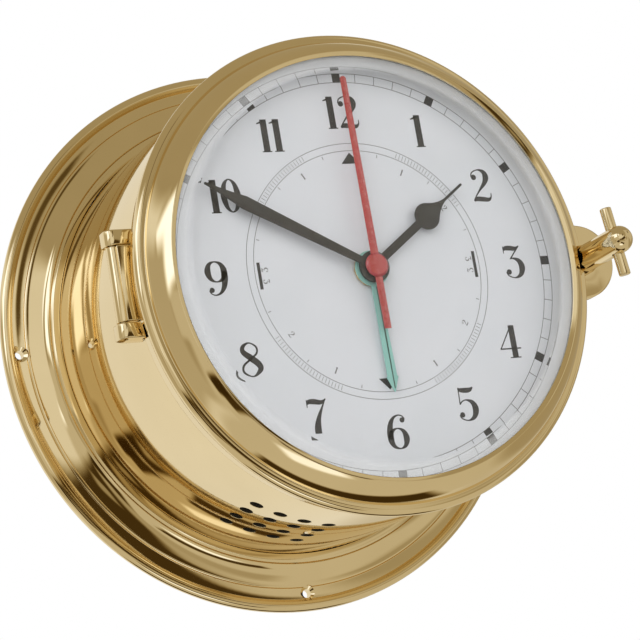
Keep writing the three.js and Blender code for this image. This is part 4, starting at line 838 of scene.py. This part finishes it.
# Glass, gasket and snap ring
glass_step = GLASS_BACK + GLASS_RIM
glass = lathe("glass", [
    (0, GLASS_BACK), (GLASS_RADIUS, GLASS_BACK), (GLASS_RADIUS, glass_step),
    (lip_radius, glass_step), (lip_radius - BEVEL_WIDTH, GLASS_FRONT), (0, GLASS_FRONT),
])
smooth_faces(glass.data, GLASS_SHARP_DEGREES)
glass.visible_shadow = False
dress(glass, "bezel", GLASS, "bezel_glass")
gasket_outer = ends("glass_gasket")[1].x
gasket_bore = gasket_outer - GASKET_WIDTH
gasket_outline = ring_outline(gasket_bore, gasket_outer, *depths("glass_gasket"), SOFT_ROUND)
dress(lathe("gasket", gasket_outline), "bezel", RUBBER, "glass_gasket")
snap_outline = ring_outline(gasket_bore, ends("glass_snap_ring")[1].x, snap_back, snap_front)
snap = lathe("snap_ring", snap_outline)
split_outline = box_outline(-SNAP_SPLIT / 2, SNAP_SPLIT / 2, -GLASS_RADIUS - 3 * CUT, 0)
carve(snap, prism("split_tool", split_outline, snap_back - CUT, snap_front + CUT))
settle_normals(snap, snap_outline)
dress(snap, "bezel", STEEL, "glass_snap_ring")

# Lug on the drum, thumbscrew, cross bar, washer and clip
lug_back, lug_front = depths("case_lug")
lug_outline = ear_outline(flange_bore, LUG_RADIUS, DRUM_RADIUS - CUT)
lug = prism("lug", lug_outline, lug_back, lug_front, edge=EAR_ROUND)
lug_core = rod("lug_core", flange_bore, lug_back - CUT, lug_front + CUT, sides=RING_SIDES)
clip_room = depths("thumbscrew_clip")[0] - LUG_BORE_ROOM
lug_bore = lathe("lug_bore", stepped(
    SHANK_RADIUS + LUG_BORE_ROOM, collar_radius + LUG_MOUTH_ROOM,
    lug_back - CUT, clip_room, clip_room, lug_front + CUT,
), ROUND_SIDES)
carve(lug, lug_core, move(lug_bore, SCREW_X))
dress(lug, "case", POLISHED, "case_lug")

tip_depth, head_end = depths("thumbscrew")
washer_back, washer_front = depths("thumbscrew_washer")
collar_back = washer_front + SEAT_GAP
collar_front = collar_back + COLLAR_LENGTH
screw_outline = soften([
    (0, tip_depth),
    (SHANK_RADIUS * SHANK_TIP_SHARE, tip_depth),
    (SHANK_RADIUS, tip_depth + SHOULDER),
    (SHANK_RADIUS, collar_back),
    (collar_radius, collar_back),
    (collar_radius, collar_front),
    (HEAD_RADIUS, collar_front + SHOULDER),
    *arc(0, head_end - HEAD_RADIUS, HEAD_RADIUS, 0, 90, steps=16)[:-1],
    (0, head_end),
], SMALL_ROUND)
tilt = rotation(BAR_TILT)
screw = move(lathe("screw", screw_outline, ROUND_SIDES), matrix=tilt)
bar_slope = math.radians(-BAR_TILT)
bar_half = (half_size("thumbscrew_bar")[1] - BAR_RADIUS * math.sin(bar_slope)) / math.cos(bar_slope)
on_screw = tilt @ shift(depth=middle_depth("thumbscrew_bar")) @ stand_up


def upright_bar(name, radius, half, edge, sides, matrix):
    outline = soften(plug(radius, -half, half), edge)
    return move(lathe(name, outline, sides), matrix=matrix)


bar_hole = (BAR_RADIUS + SEAT_GAP, HEAD_RADIUS + CUT)
carve(screw, upright_bar("bar_hole", *bar_hole, 0, SMALL_SIDES, on_screw))
dress(move(screw, SCREW_X), "thumbscrew", POLISHED, "thumbscrew")
bar = upright_bar("cross_bar", BAR_RADIUS, bar_half, BAR_ROUND, ROUND_SIDES, on_screw)
dress(move(bar, SCREW_X), "thumbscrew", POLISHED, "thumbscrew_bar")
washer_bore = SHANK_RADIUS + SEAT_GAP
washer_outline = ring_outline(washer_bore, collar_radius, washer_back, washer_front)
washer = move(lathe("washer", washer_outline, ROUND_SIDES), SCREW_X)
dress(washer, "screw_carrier", POLISHED, "thumbscrew_washer")
clip_outline = ring_outline(washer_bore, SHANK_RADIUS + CLIP_WIDTH, *depths("thumbscrew_clip"))
clip = move(lathe("screw_clip", clip_outline, ROUND_SIDES), SCREW_X)
dress(clip, "thumbscrew", STEEL, "thumbscrew_clip")

# Hinge
lug_start = HINGE_DEPTH - HINGE_LUG_LENGTH + HINGE_EYE
lug_side = [
    (-DRUM_RADIUS + HINGE_EYE, lug_start),
    (-DRUM_RADIUS + HINGE_EYE, HINGE_DEPTH + HINGE_EYE),
    *arc(HINGE_X, HINGE_DEPTH, HINGE_EYE, 90, 180, steps=10),
    (HINGE_X - HINGE_EYE, HINGE_DEPTH - HINGE_EYE),
    (HINGE_X, lug_start),
]


def skirt_tool(room):
    return rod("skirt_tool", skirt_radius + room, DRUM_MOUTH, skirt_front, sides=RING_SIDES)


for side in ("top", "bottom"):
    low, high = ends(f"hinge_lug_{side}")
    eye = prism(f"hinge_{side}", lug_side, low.z, high.z, upwards, edge=HINGE_ROUND)
    carve(eye, rod("case_tool", flange_bore, 0, DRUM_MOUTH + SEAT_GAP, sides=RING_SIDES))
    carve(eye, skirt_tool(HINGE_ROOM))
    dress(eye, "case", POLISHED, f"hinge_lug_{side}")
leaf_low, leaf_high = ends("bezel_hinge_leaf")
leaf_half = half_size("bezel_hinge_leaf")[1]
on_hinge = shift(HINGE_X, HINGE_DEPTH, HINGE_Z) @ stand_up
knuckle = upright_bar("knuckle", KNUCKLE_RADIUS, leaf_half, SOFT_ROUND, ROUND_SIDES, on_hinge)
leaf_front = -leaf_low.y
leaf_outline = box_outline(HINGE_X, -skirt_radius + SKIRT_WALL, leaf_low.z, leaf_high.z)
leaf = prism("leaf", leaf_outline, leaf_front - LEAF_THICKNESS, leaf_front, edge=EDGE_ROUND)
carve(leaf, skirt_tool(SEAT_GAP))
join(knuckle, leaf)
knuckle.name = "hinge_leaf"
dress(knuckle, "bezel", POLISHED, "bezel_hinge_leaf")
pin = upright_bar("pin", *half_size("hinge_pin"), EDGE_ROUND, SMALL_SIDES, on_hinge)
dress(pin, "case", STEEL, "hinge_pin")

# Dial and the ring that carries it
seat_back, seat_front = depths("dial_seat_ring")
seat_hold = ends("dial_seat_ring")[1].x
seat_radius = DIAL_RADIUS - SEAT_INSET
seat_wall = seat_radius - SEAT_WALL
seat_bore = seat_radius - SEAT_WIDTH
seat_outline = soften([
    (seat_wall, seat_back), (seat_hold, seat_back), (seat_hold, DRUM_MOUTH), (seat_radius, DRUM_MOUTH),
    (seat_radius, seat_front), (seat_bore, seat_front), (seat_bore, seat_front - SEAT_THICKNESS),
    (seat_wall, seat_front - SEAT_THICKNESS),
], EDGE_ROUND)
dress(lathe("dial_seat", seat_outline), "case", TURNED, "dial_seat_ring")

dial_back = DIAL_FACE - DIAL_THICKNESS
hub_bore = BUSH_RADIUS + SEAT_GAP
dial = lathe("dial", ring_outline(hub_bore, DIAL_RADIUS, dial_back, DIAL_FACE, SMALL_ROUND))
dial_foot = soften(plug(DIAL_FOOT_RADIUS, DIAL_FOOT_BACK, dial_back + DIAL_THICKNESS / 2), SMALL_ROUND)
for third in range(3):
    foot_place = clock_point(seat_bore + DIAL_FOOT_INSET, 60 + 120 * third)
    join(dial, move(lathe("foot", dial_foot, SMALL_SIDES), *foot_place))
dress(dial, "case", WHITE, "dial_plate")


# Dial print: every mark is a thin closed layer on the dial's face


def ink_polygon(bm, points):
    prism_into(bm, points, DIAL_FACE - INK_THICKNESS, DIAL_FACE + INK_THICKNESS, towards_front)


def ink_strip(bm, left, right, closed=False):
    under, over = DIAL_FACE - INK_THICKNESS, DIAL_FACE + INK_THICKNESS
    columns = []
    for (left_x, left_z), (right_x, right_z) in zip(left, right):
        section = [(left_x, under, left_z), (left_x, over, left_z)]
        section += [(right_x, over, right_z), (right_x, under, right_z)]
        columns.append([corner_at(bm, *place) for place in section])
    loft(bm, columns, closed)


def ink_circle(bm, radius, width):
    turns = [360 * k / RING_SIDES for k in range(RING_SIDES)]
    sides = [[clock_point(radius + half, turn) for turn in turns] for half in (-width / 2, width / 2)]
    ink_strip(bm, *sides, closed=True)


def ink_tick(bm, degrees, inner, outer, width):
    along = Vector(clock_point(1, degrees))
    across = Vector((along.y, -along.x)) * (width / 2)
    near, far = along * inner, along * outer
    ink_polygon(bm, [tuple(c) for c in (near - across, far - across, far + across, near + across)])


def spline(knots, closed, steps=10):
    """A smooth curve through (x, y, width) knots."""
    count = len(knots)
    path = []
    for i in range(count if closed else count - 1):
        picks = range(i - 1, i + 3)
        if closed:
            a, b, c, d = (Vector(knots[k % count]) for k in picks)
        else:
            a, b, c, d = (Vector(knots[min(max(k, 0), count - 1)]) for k in picks)
        for step in range(steps):
            t = step / steps
            path.append(0.5 * (
                2 * b + (c - a) * t + (2 * a - 5 * b + 4 * c - d) * t * t + (3 * b - a - 3 * c + d) * t ** 3
            ))
    if not closed:
        path.append(Vector(knots[-1]))
    return path


def stroke_sides(path, closed):
    left, right = [], []
    count = len(path)
    for i, point in enumerate(path):
        before = path[i - 1] if closed or i > 0 else point
        after = path[(i + 1) % count] if closed or i < count - 1 else point
        along = (after - before).xy.normalized()
        across = Vector((-along.y, along.x)) * (point.z / 2)
        left.append(point.xy + across)
        right.append(point.xy - across)
    return left, right


# Numerals in thousandths of their height: open and closed strokes of (x, y, width) knots, and balls
# of (x, y, radius)
GRID = 1000
NUMERALS = {
    "0": {"width": 600, "closed": [[
        (82.5, 500, 165), (145, 840, 105), (300, 983, 34), (455, 840, 105),
        (517.5, 500, 165), (455, 160, 105), (300, 17, 34), (145, 160, 105),
    ]]},
    "1": {"width": 340, "open": [
        [(180, 985, 175), (180, 500, 175), (180, 0, 175)],
        [(190, 967, 36), (100, 905, 50), (-30, 862, 26)],
        [(30, 14, 28), (180, 14, 28), (330, 14, 28)],
    ]},
    "2": {"width": 580, "open": [
        [(52, 770, 30), (100, 910, 34), (280, 981, 38), (430, 900, 120), (470, 740, 165),
         (400, 560, 115), (230, 340, 50), (85, 130, 32), (40, 30, 30)],
        [(35, 30, 50), (130, 85, 120), (300, 70, 125), (450, 55, 100), (530, 130, 40), (545, 250, 22)],
    ], "balls": [(125, 755, 85)]},
    "3": {"width": 580, "open": [
        [(45, 985, 26), (42, 880, 26), (40, 770, 22)],
        [(45, 870, 50), (110, 925, 115), (240, 925, 130), (370, 905, 110), (450, 940, 60), (500, 985, 25)],
        [(490, 975, 30), (350, 790, 34), (210, 600, 36)],
        [(190, 595, 30), (300, 605, 50), (440, 515, 130), (497, 325, 172), (430, 110, 115),
         (260, 18, 36), (90, 80, 32), (30, 200, 30)],
    ], "balls": [(105, 200, 82)]},
    "4": {"width": 620, "open": [
        [(415, 985, 34), (230, 650, 32), (30, 285, 32)],
        [(15, 285, 36), (310, 285, 36), (605, 285, 36)],
        [(415, 985, 165), (415, 500, 165), (415, 0, 165)],
        [(260, 14, 28), (415, 14, 28), (570, 14, 28)],
    ]},
    "5": {"width": 580, "open": [
        [(85, 990, 30), (140, 925, 100), (280, 905, 130), (410, 915, 110), (500, 985, 30)],
        [(95, 970, 30), (90, 750, 30), (82, 490, 30)],
        [(82, 500, 30), (160, 590, 34), (280, 617, 40), (430, 530, 120), (492, 330, 172),
         (420, 110, 115), (250, 18, 36), (80, 80, 32), (25, 190, 30)],
    ], "balls": [(100, 190, 80)]},
    "6": {"width": 600, "closed": [[
        (90, 300, 165), (150, 520, 100), (310, 600, 34), (455, 515, 100),
        (515, 305, 165), (455, 95, 100), (310, 17, 34), (155, 95, 100),
    ]], "open": [
        [(90, 300, 165), (92, 500, 165), (140, 740, 130), (240, 915, 70), (370, 982, 36),
         (480, 950, 30), (540, 850, 30)],
    ], "balls": [(470, 835, 76)]},
    "7": {"width": 580, "open": [
        [(45, 985, 26), (42, 880, 26), (40, 760, 22)],
        [(45, 860, 50), (110, 925, 115), (250, 920, 135), (400, 890, 110), (500, 930, 60), (555, 985, 25)],
        [(540, 975, 30), (430, 740, 50), (310, 460, 110), (245, 200, 175), (235, 0, 180)],
    ]},
    "8": {"width": 600, "closed": [[
        (300, 983, 36), (135, 890, 95), (118, 730, 135), (300, 545, 165), (475, 360, 165), (500, 200, 130),
        (300, 18, 36), (75, 140, 55), (85, 340, 55), (300, 525, 50), (465, 680, 50), (470, 860, 50),
    ]]},
}


def turned_over(knots):
    return [(NUMERALS["6"]["width"] - x, GRID - y, size) for x, y, size in knots]


NUMERALS["9"] = {"width": NUMERALS["6"]["width"]} | {
    kind: [turned_over(knots) for knots in NUMERALS["6"][kind]] for kind in ("closed", "open")
} | {"balls": turned_over(NUMERALS["6"]["balls"])}
NUMERAL_GAP = 0.05
NUMERAL_WEIGHT = 1.15
NUMERAL_STRETCH = 1.17
NARROW_DIGITS = "01"


def ink_number(bm, text, place, height, degrees=0.0):
    """Prints a number centred on a place, turned clockwise."""
    stretches = [1 if digit in NARROW_DIGITS else NUMERAL_STRETCH for digit in text]
    widths = [NUMERALS[digit]["width"] / GRID * stretch for digit, stretch in zip(text, stretches)]
    start = -(sum(widths) + NUMERAL_GAP * (len(text) - 1)) / 2
    turn = Matrix.Rotation(math.radians(-degrees), 2)

    def put(points):
        offsets = (Vector((x + start, y - 0.5)) * height for x, y in points)
        return [tuple(Vector(place) + turn @ offset) for offset in offsets]

    for digit, stretch, advance in zip(text, stretches, widths):
        glyph = NUMERALS[digit]
        for closed, kind in ((True, "closed"), (False, "open")):
            for knots in glyph.get(kind, ()):
                bold = [(x / GRID * stretch, y / GRID, w / GRID * NUMERAL_WEIGHT) for x, y, w in knots]
                left, right = stroke_sides(spline(bold, closed), closed)
                ink_strip(bm, put(left), put(right), closed)
        for ball_x, ball_y, radius in glyph.get("balls", ()):
            ball = arc(ball_x / GRID * stretch, ball_y / GRID, radius / GRID, 0, 360, steps=20)
            ink_polygon(bm, put(ball[:-1]))
        start += advance + NUMERAL_GAP


black_print = bmesh.new()
for hour in range(1, 13):
    ink_number(black_print, str(hour), clock_point(NUMERAL_CIRCLE, 30 * hour), NUMERAL_HEIGHT)
    ink_tick(black_print, 30 * hour, TRACK_INNER, TRACK_OUTER, MARK_WIDTH)
triangle = [(-TRIANGLE_HALF, TRIANGLE_BASE), (0, TRIANGLE_TIP), (TRIANGLE_HALF, TRIANGLE_BASE)]
bracket = box_outline(BRACKET_INNER, BRACKET_OUTER, -BRACKET_HALF, BRACKET_HALF)
for side in (1, -1):
    ink_polygon(black_print, [(x, z * side) for x, z in triangle][::side])
    ink_polygon(black_print, [(x * side, z * side) for x, z in bracket])
dress(to_object("dial_numerals", black_print), "case", INK)

grey_print = bmesh.new()
for radius in (TRACK_INNER, TRACK_OUTER):
    ink_circle(grey_print, radius, TRACK_LINE)
for radius in (TIDE_RING_INNER, TIDE_RING_OUTER):
    ink_circle(grey_print, radius, TIDE_LINE)
for minute in range(60):
    if minute % 5:
        ink_tick(grey_print, 6 * minute, TRACK_INNER, TRACK_OUTER, TRACK_LINE)
tide_tick = (TIDE_RING_INNER + TIDE_TICK_INSET, TIDE_RING_OUTER - TIDE_TICK_INSET, TIDE_TICK_LINE)
for start in (0, 180):
    for side in (1, -1):
        for hours in (1, 2, 3):
            turn = start + side * TIDE_HOUR_DEGREES * hours
            ink_tick(grey_print, turn - side * TIDE_HOUR_DEGREES / 2, *TIDE_MARK, TRACK_LINE)
            place = clock_point(SMALL_NUMERAL_CIRCLE, turn)
            ink_number(grey_print, str(hours), place, SMALL_NUMERAL_HEIGHT, turn + start)
        for tick in range(TIDE_TICKS):
            turn = start + side * (TIDE_TICK_START + TIDE_TICK_STEP * tick)
            ink_tick(grey_print, turn, *tide_tick)
dress(to_object("dial_scales", grey_print), "case", GREY_INK)

# Hands


def turn_to(obj, degrees):
    return move(obj, matrix=rotation(degrees))


def hand(name, hub, root, blade, degrees):
    """A flat hand: a hub disc with a blade on top, of which half the outline is given."""
    root_angle = math.degrees(math.acos(root / 2 / hub))
    mirrored = [(-x, z) for x, z in reversed(blade) if x > 0]
    outline = [*arc(0, 0, hub, 180 - root_angle, 360 + root_angle, steps=48), *blade, *mirrored]
    flat = prism(name, outline, *depths(f"{name}_hand"), edge=HAND_ROUND, steps=2)
    return turn_to(flat, degrees)


# Halves of the blades, as (half width, place) points
hour_blade = [
    (1.3, 22.0),
    *arc(0, 26, 4.2, -52, 38, steps=16),
    *bend((3.31, 28.59), (0.95, 31.2), (0.45, 34.4), steps=12)[1:],
    (0.4, 42.6),
    (0.2, 42.8),
]
minute_tip = lip_radius - MINUTE_TIP_GAP
minute_blade = [*bend((2.15, 44.4), (0.9, 50.5), (0.4, minute_tip - 0.3), steps=10), (0.2, minute_tip)]
tide_blade = [(1.6, 33.2), (2.0, 33.4), (0.15, 38.0), (0, 38.1)]
# Hands: name, hub radius, width of the blade's root, blade, angle, finish
for name, hub, root, half_blade, degrees, look in (
    ("hour", 4.6, 2.6, hour_blade, HOUR_ANGLE, BLACK),
    ("minute", 4.9, 2.4, minute_blade, MINUTE_ANGLE, BLACK),
    ("tide", 5.5, 2.5, tide_blade, TIDE_ANGLE, AQUA),
):
    dress(hand(name, hub, root, half_blade, degrees), name, look, f"{name}_hand")
tide_front = depths("tide_hand")[1]
stripe_outline = [(-0.15, 5.7), (-0.75, 5.7), (-0.3, 37.0), (0.05, 37.0)]
stripe = prism("tide_line", stripe_outline, tide_front - STRIPE_SINK, tide_front + STRIPE_RISE)
dress(turn_to(stripe, TIDE_ANGLE), "tide", AQUA_LINE)

second_back, second_front = depths("second_hand")
cap_front = depths("second_hub_cap")[1]
second_edge = second_back + SECOND_EDGE
second_tip = lip_radius - SECOND_TIP_GAP
second = bmesh.new()
# Blade and tail with a ridge along the middle, through (half width, place) stations
for stations in (
    [(1.3, 2.6), (1.0, second_tip - 0.5), (0.6, second_tip)],
    [(1.1, -19.5), (1.15, -10), (1.2, -2.6)],
):
    columns = []
    for half, z in stations:
        section = [(-half, second_back), (-half, second_edge), (0, second_front)]
        section += [(half, second_edge), (half, second_back)]
        columns.append([corner_at(second, x, depth, z) for x, depth in section])
    loft(second, columns)
blade = to_object("second_blade", second)
hub_outline = soften([
    (0, second_back), (SECOND_HUB, second_back), (SECOND_HUB, second_front),
    (SECOND_DOME, cap_front - SECOND_DOME_FALL), (SECOND_DOME_TOP, cap_front), (0, cap_front),
], SOFT_ROUND)
whole = bmesh.new()
for part in (blade, lathe("second_hub", hub_outline, ROUND_SIDES)):
    whole.from_mesh(part.data)
    bpy.data.objects.remove(part)
second_hand = turn_to(to_object("second", whole), SECOND_ANGLE)
dress(second_hand, "second", RED, "second_hand", "second_hub_cap")

# Movement, cell and knobs, seen from the back
post_back, front_front = depths("movement_front_shell")
front_back = front_front - FRONT_SHELL
rear_back, rear_front = depths("movement_rear_shell")
shell_low, shell_high = ends("movement_rear_shell")
left, right = shell_low.x + SHELL_CORNER, shell_high.x - SHELL_CORNER
bottom, top = shell_low.z + SHELL_CORNER, shell_high.z - SHELL_CORNER
housing = [
    *arc(left, bottom, SHELL_CORNER, 180, 270, steps=8),
    *arc(right, bottom, SHELL_CORNER, 270, 360, steps=8),
    *arc(right, top, SHELL_CORNER, 0, 90, steps=8),
    *arc(left, top, SHELL_CORNER, 90, 180, steps=8),
]
front_shell = prism("movement_front", housing, front_back, front_front, edge=EDGE_ROUND)
carve(front_shell, rod("bush_tool", hub_bore, front_back - CUT, front_front + CUT))
join(front_shell, rod("motion_post", WHEEL_POST, post_back, front_back + CUT, middle("motion_wheel")))
dress(front_shell, "case", BLACK_PLASTIC, "movement_front_shell")

cell_half, cell_radius = half_size("cell")
rear_shell = prism("movement_rear", housing, rear_back, rear_front, edge=SHELL_ROUND)
inner_half = shell_high.x - SHELL_WALL
cavity_back = rear_back + SHELL_WALL
trough_low = shell_low.z + SHELL_WALL
trough_high = trough_low + 2 * (cell_radius + CELL_GAP)
trough_outline = box_outline(-inner_half, inner_half, trough_low, trough_high)
cavity_outline = box_outline(-inner_half, inner_half, trough_high + SHELL_WALL, shell_high.z - SHELL_WALL)
carve(
    rear_shell,
    prism("trough_tool", trough_outline, rear_back - CUT, rear_front - SHELL_WALL),
    prism("cavity_tool", cavity_outline, cavity_back, rear_front + CUT),
)
knob_names = ("time_set_knob", "tide_set_knob")
for name in knob_names:
    spindle_hole = (SPINDLE_RADIUS + TURN_GAP, rear_back - CUT, cavity_back + CUT)
    carve(rear_shell, rod("knob_tool", *spindle_hole, middle(name)))
stator_low, stator_high = ends("stator_plate")
stator_back = depths("stator_plate")[0] - SEAT_GAP
board_low, board_high = ends("circuit_board")
board_back = depths("circuit_board")[0] - SEAT_GAP
board_x = middle("circuit_board")[0]
wheels = ("third_wheel", "intermediate_wheel", "rotor_magnet")
standing = [(WHEEL_POST, depths(name)[1], middle(name)) for name in wheels] + [
    (BOSS_RADIUS, stator_back, (stator_low.x + BOSS_MARGIN, stator_low.z + BOSS_MARGIN)),
    (BOSS_RADIUS, stator_back, (stator_high.x - BOSS_EDGE, middle("coil_core")[1] + BOSS_MARGIN)),
    (BOSS_RADIUS, board_back, (board_x, board_low.z + BOSS_MARGIN)),
    (BOSS_RADIUS, board_back, (board_x, board_high.z - BOSS_MARGIN)),
]
for radius, front, place in standing:
    join(rear_shell, rod("boss", radius, cavity_back - SHELL_WALL / 2, front, place))
dress(rear_shell, "case", BLACK_PLASTIC, "movement_rear_shell")

cell_top = cell_half - CELL_NUB_LENGTH
cell_outline = soften([
    (0, -cell_half), (cell_radius - CELL_SHOULDER, -cell_half), (cell_radius, -cell_half + CELL_BASE),
    (cell_radius, cell_top - CELL_BASE), (cell_radius - CELL_SHOULDER, cell_top),
    (CELL_NUB_RADIUS, cell_top), (CELL_NUB_RADIUS, cell_half), (0, cell_half),
], EDGE_ROUND)
lie_down = shift(depth=middle_depth("cell"), z=middle("cell")[1]) @ rotation(90, "Z")
cell = move(lathe("dry_cell", cell_outline, ROUND_SIDES), matrix=lie_down)
dress(cell, "cell", JACKET, "cell")

for name in knob_names:
    back, front = depths(name)
    radius = half_size(name)[0] - FLUTE_DEPTH
    grip = []
    for step in range(KNOB_FLUTES * FLUTE_STEPS):
        angle = 360 * step / (KNOB_FLUTES * FLUTE_STEPS)
        flute = FLUTE_DEPTH * math.cos(math.radians(angle * KNOB_FLUTES + 180))
        grip.append(clock_point(radius + flute, angle)[::-1])
    knob = prism(f"{name}_grip", grip, back, rear_back - TURN_GAP, edge=KNOB_ROUND)
    join(knob, rod("spindle", SPINDLE_RADIUS, back + SPINDLE_START, front))
    dress(move(knob, *middle(name)), name.replace("set_", ""), GREY_PLASTIC, name)

# CAD pieces that stay, with their finishes
coat_node(
    STEEL, "dial_foot_clip_1", "dial_foot_clip_2", "dial_foot_clip_3", "second_arbor", "crystal_can",
    "cell_contact_positive", "cell_contact_negative", "rotor_magnet", "stator_plate", "coil_core",
)
coat_node(TURNED, "tide_pipe", "hour_pipe", "minute_pipe", "centre_bush", "bush_nut")
coat_node(RUBBER, "rubber_washer")
coat_node(
    NYLON, "cannon_pinion", "hour_wheel", "motion_wheel", "time_set_pinion", "tide_wheel",
    "tide_drive_wheel", "tide_idler", "centre_wheel", "third_wheel", "second_wheel",
    "intermediate_wheel", "rotor_pinion",
)
coat_node(GREY_PLASTIC, "coil_bobbin")
coat_node(COPPER, "coil_winding")
coat_node(BOARD, "circuit_board")

# Studio: white background, soft boxes and dark flags that only polished surfaces see
world = bpy.data.worlds.new("studio")
scene.world = world
world.use_nodes = True
sky = world.node_tree
background = sky.nodes["Background"]
direction = add_node(sky, "TexCoord").outputs["Generated"]
GREY_LEVEL = 0.40
DIFFUSE_LEVEL = 0.40
WARMTH = {"Green": 0.2, "Blue": 0.7}
FACING_EDGE = 0.02
SCATTERED = (0.4, 0.6)

# Soft patches: azimuth from the front towards 3 o'clock, elevation, half width, half height, roll,
# soft edge, level
PATCHES = [
    (0, -90, 55, 70, 0, 10, 0.60),  # table top
    (-150, 0, 50, 40, 0, 12, 0.85),  # card behind, left
    (-10, 0, 60, 9, 0, 4, 0.60),  # low band in front
    (-65, 23, 20, 14, 15, 6, 1.45),  # window, left
    (-28, 17, 4, 20, 15, 4, 1.4),  # strip light
    (-12, 11, 20, 15, -20, 5, 0.80),  # card in front
    (6, 22, 3, 9, -30, 3, 0.10),  # narrow flag beside the card
    (-15, -58, 12, 7, 0, 6, 1.2),  # glow on the table
    (-12, -16, 38, 8, 27, 4, 0.06),  # long slanting flag
    (-10, -12, 3, 3, 0, 3, 0.35),  # gap in it
    (0, -45, 15, 6, -20, 3, 0.07),  # flag at the edge of the table
    (170, -65, 30, 12, 0, 6, 0.05),  # flag under the clock
    (35, -5, 6, 10, 0, 7, 0.40),  # dim gap, right
    (70, 20, 32, 23, -30, 4, 0.60),  # card, right
    (-95, -5, 25, 30, 0, 12, 0.50),  # dim card, left
    (-5, -24, 25, 4, 0, 5, 0.42),  # edge of the table
    (-46, -25, 9, 4, 10, 4, 0.04),  # flag, left
    (72, 33, 4, 6, -20, 3, 0.05),  # flag on the right card
]


def sky_math(operation, *values):
    sockets = dict(enumerate(values))
    return add_node(sky, "Math", sockets, operation=operation).outputs["Value"]


def sky_along(axis):
    sockets = {0: direction, 1: axis}
    return add_node(sky, "VectorMath", sockets, operation="DOT_PRODUCT").outputs["Value"]


def sky_share(value, start, end):
    return ramp(sky, value, start, end, kind="SMOOTHSTEP")


def choose(share, below, above):
    return mix(sky, share, below, above, "FLOAT")


def patch(under, azimuth, elevation, half_width, half_height, roll, soft, level):
    """Lays a soft-edged rectangle of one brightness over what is there."""
    turn = rotation(azimuth, "Z") @ rotation(-elevation, "X") @ rotation(-roll, "Y")
    share = sky_share(sky_along(turn @ Vector((0, -1, 0))), 0, FACING_EDGE)
    for axis, half in (((1, 0, 0), half_width), ((0, 0, 1), half_height)):
        off = sky_math("ABSOLUTE", sky_along(turn @ Vector(axis)))
        outer, inner = (math.sin(math.radians(half + edge)) for edge in (soft / 2, -soft / 2))
        share = sky_math("MULTIPLY", share, sky_share(off, outer, inner))
    return choose(share, under, level)


studio = GREY_LEVEL
for entry in PATCHES:
    studio = patch(studio, *entry)
rays = add_node(sky, "LightPath").outputs
level = choose(rays["Is Glossy Ray"], DIFFUSE_LEVEL, studio)
level = choose(rays["Is Transmission Ray"], level, 1)
level = choose(rays["Is Camera Ray"], level, 1)
scattered = sky_share(rays["Diffuse Depth"], *SCATTERED)
give(sky, background.inputs["Strength"], choose(scattered, level, DIFFUSE_LEVEL))
tone = choose(scattered, choose(rays["Is Glossy Ray"], 1, studio), 1)
tint = {"Red": 1} | {channel: sky_math("POWER", tone, power) for channel, power in WARMTH.items()}
give(sky, background.inputs["Color"], add_node(sky, "CombineColor", tint).outputs["Color"])

LAMP_TARGET = Vector((0, -0.05, 0))
# Soft boxes: name, place, size, power
for name, place, size, power in (
    ("front", (-0.5, -1.6, -0.25), 1.4, 7.6),
    ("key", (-0.8, -1.1, 0.7), 1.0, 5.4),
    ("fill", (0.9, -1.0, 0.2), 1.0, 2),
):
    lamp = bpy.data.lights.new(name, "AREA")
    lamp.shape = "RECTANGLE"
    lamp.size = lamp.size_y = size
    lamp.energy = power
    soft_box = add_object(name, lamp)
    soft_box.location = place
    soft_box.rotation_euler = (LAMP_TARGET - Vector(place)).to_track_quat("-Z", "Y").to_euler()
    soft_box.visible_glossy = False

FLOOR_HEIGHT = -0.36
FLOOR_SIZE = 2.4
FLOOR_PALE = paint("floor_pale", (0.82, 0.82, 0.82), (0.80, 0.80, 0.80), 0.7, 120, 1e-5, 6)[0]
floor_mesh = bpy.data.meshes.new("floor")
floor_sides = box_outline(-FLOOR_SIZE, FLOOR_SIZE, -FLOOR_SIZE, FLOOR_SIZE)
floor_mesh.from_pydata([(x, y, FLOOR_HEIGHT) for x, y in floor_sides], [], [(0, 1, 2, 3)])
floor = add_object("floor", floor_mesh)
floor_mesh.materials.append(FLOOR_PALE)
floor.visible_glossy = False

# Camera at the photograph's viewpoint
SENSOR_WIDTH = 36
LENS = 150.453
CAMERA_PLACE = (-0.36217, -0.77338, -0.18103)
CAMERA_TURN = (102.37418, 9.45269, -24.37997)
camera_data = bpy.data.cameras.new("camera")
camera_data.sensor_width = SENSOR_WIDTH
camera_data.lens = LENS
camera = add_object("camera", camera_data)
camera.location = CAMERA_PLACE
camera.rotation_euler = [math.radians(a) for a in CAMERA_TURN]
scene.camera = camera
scene.view_settings.view_transform = "Standard"
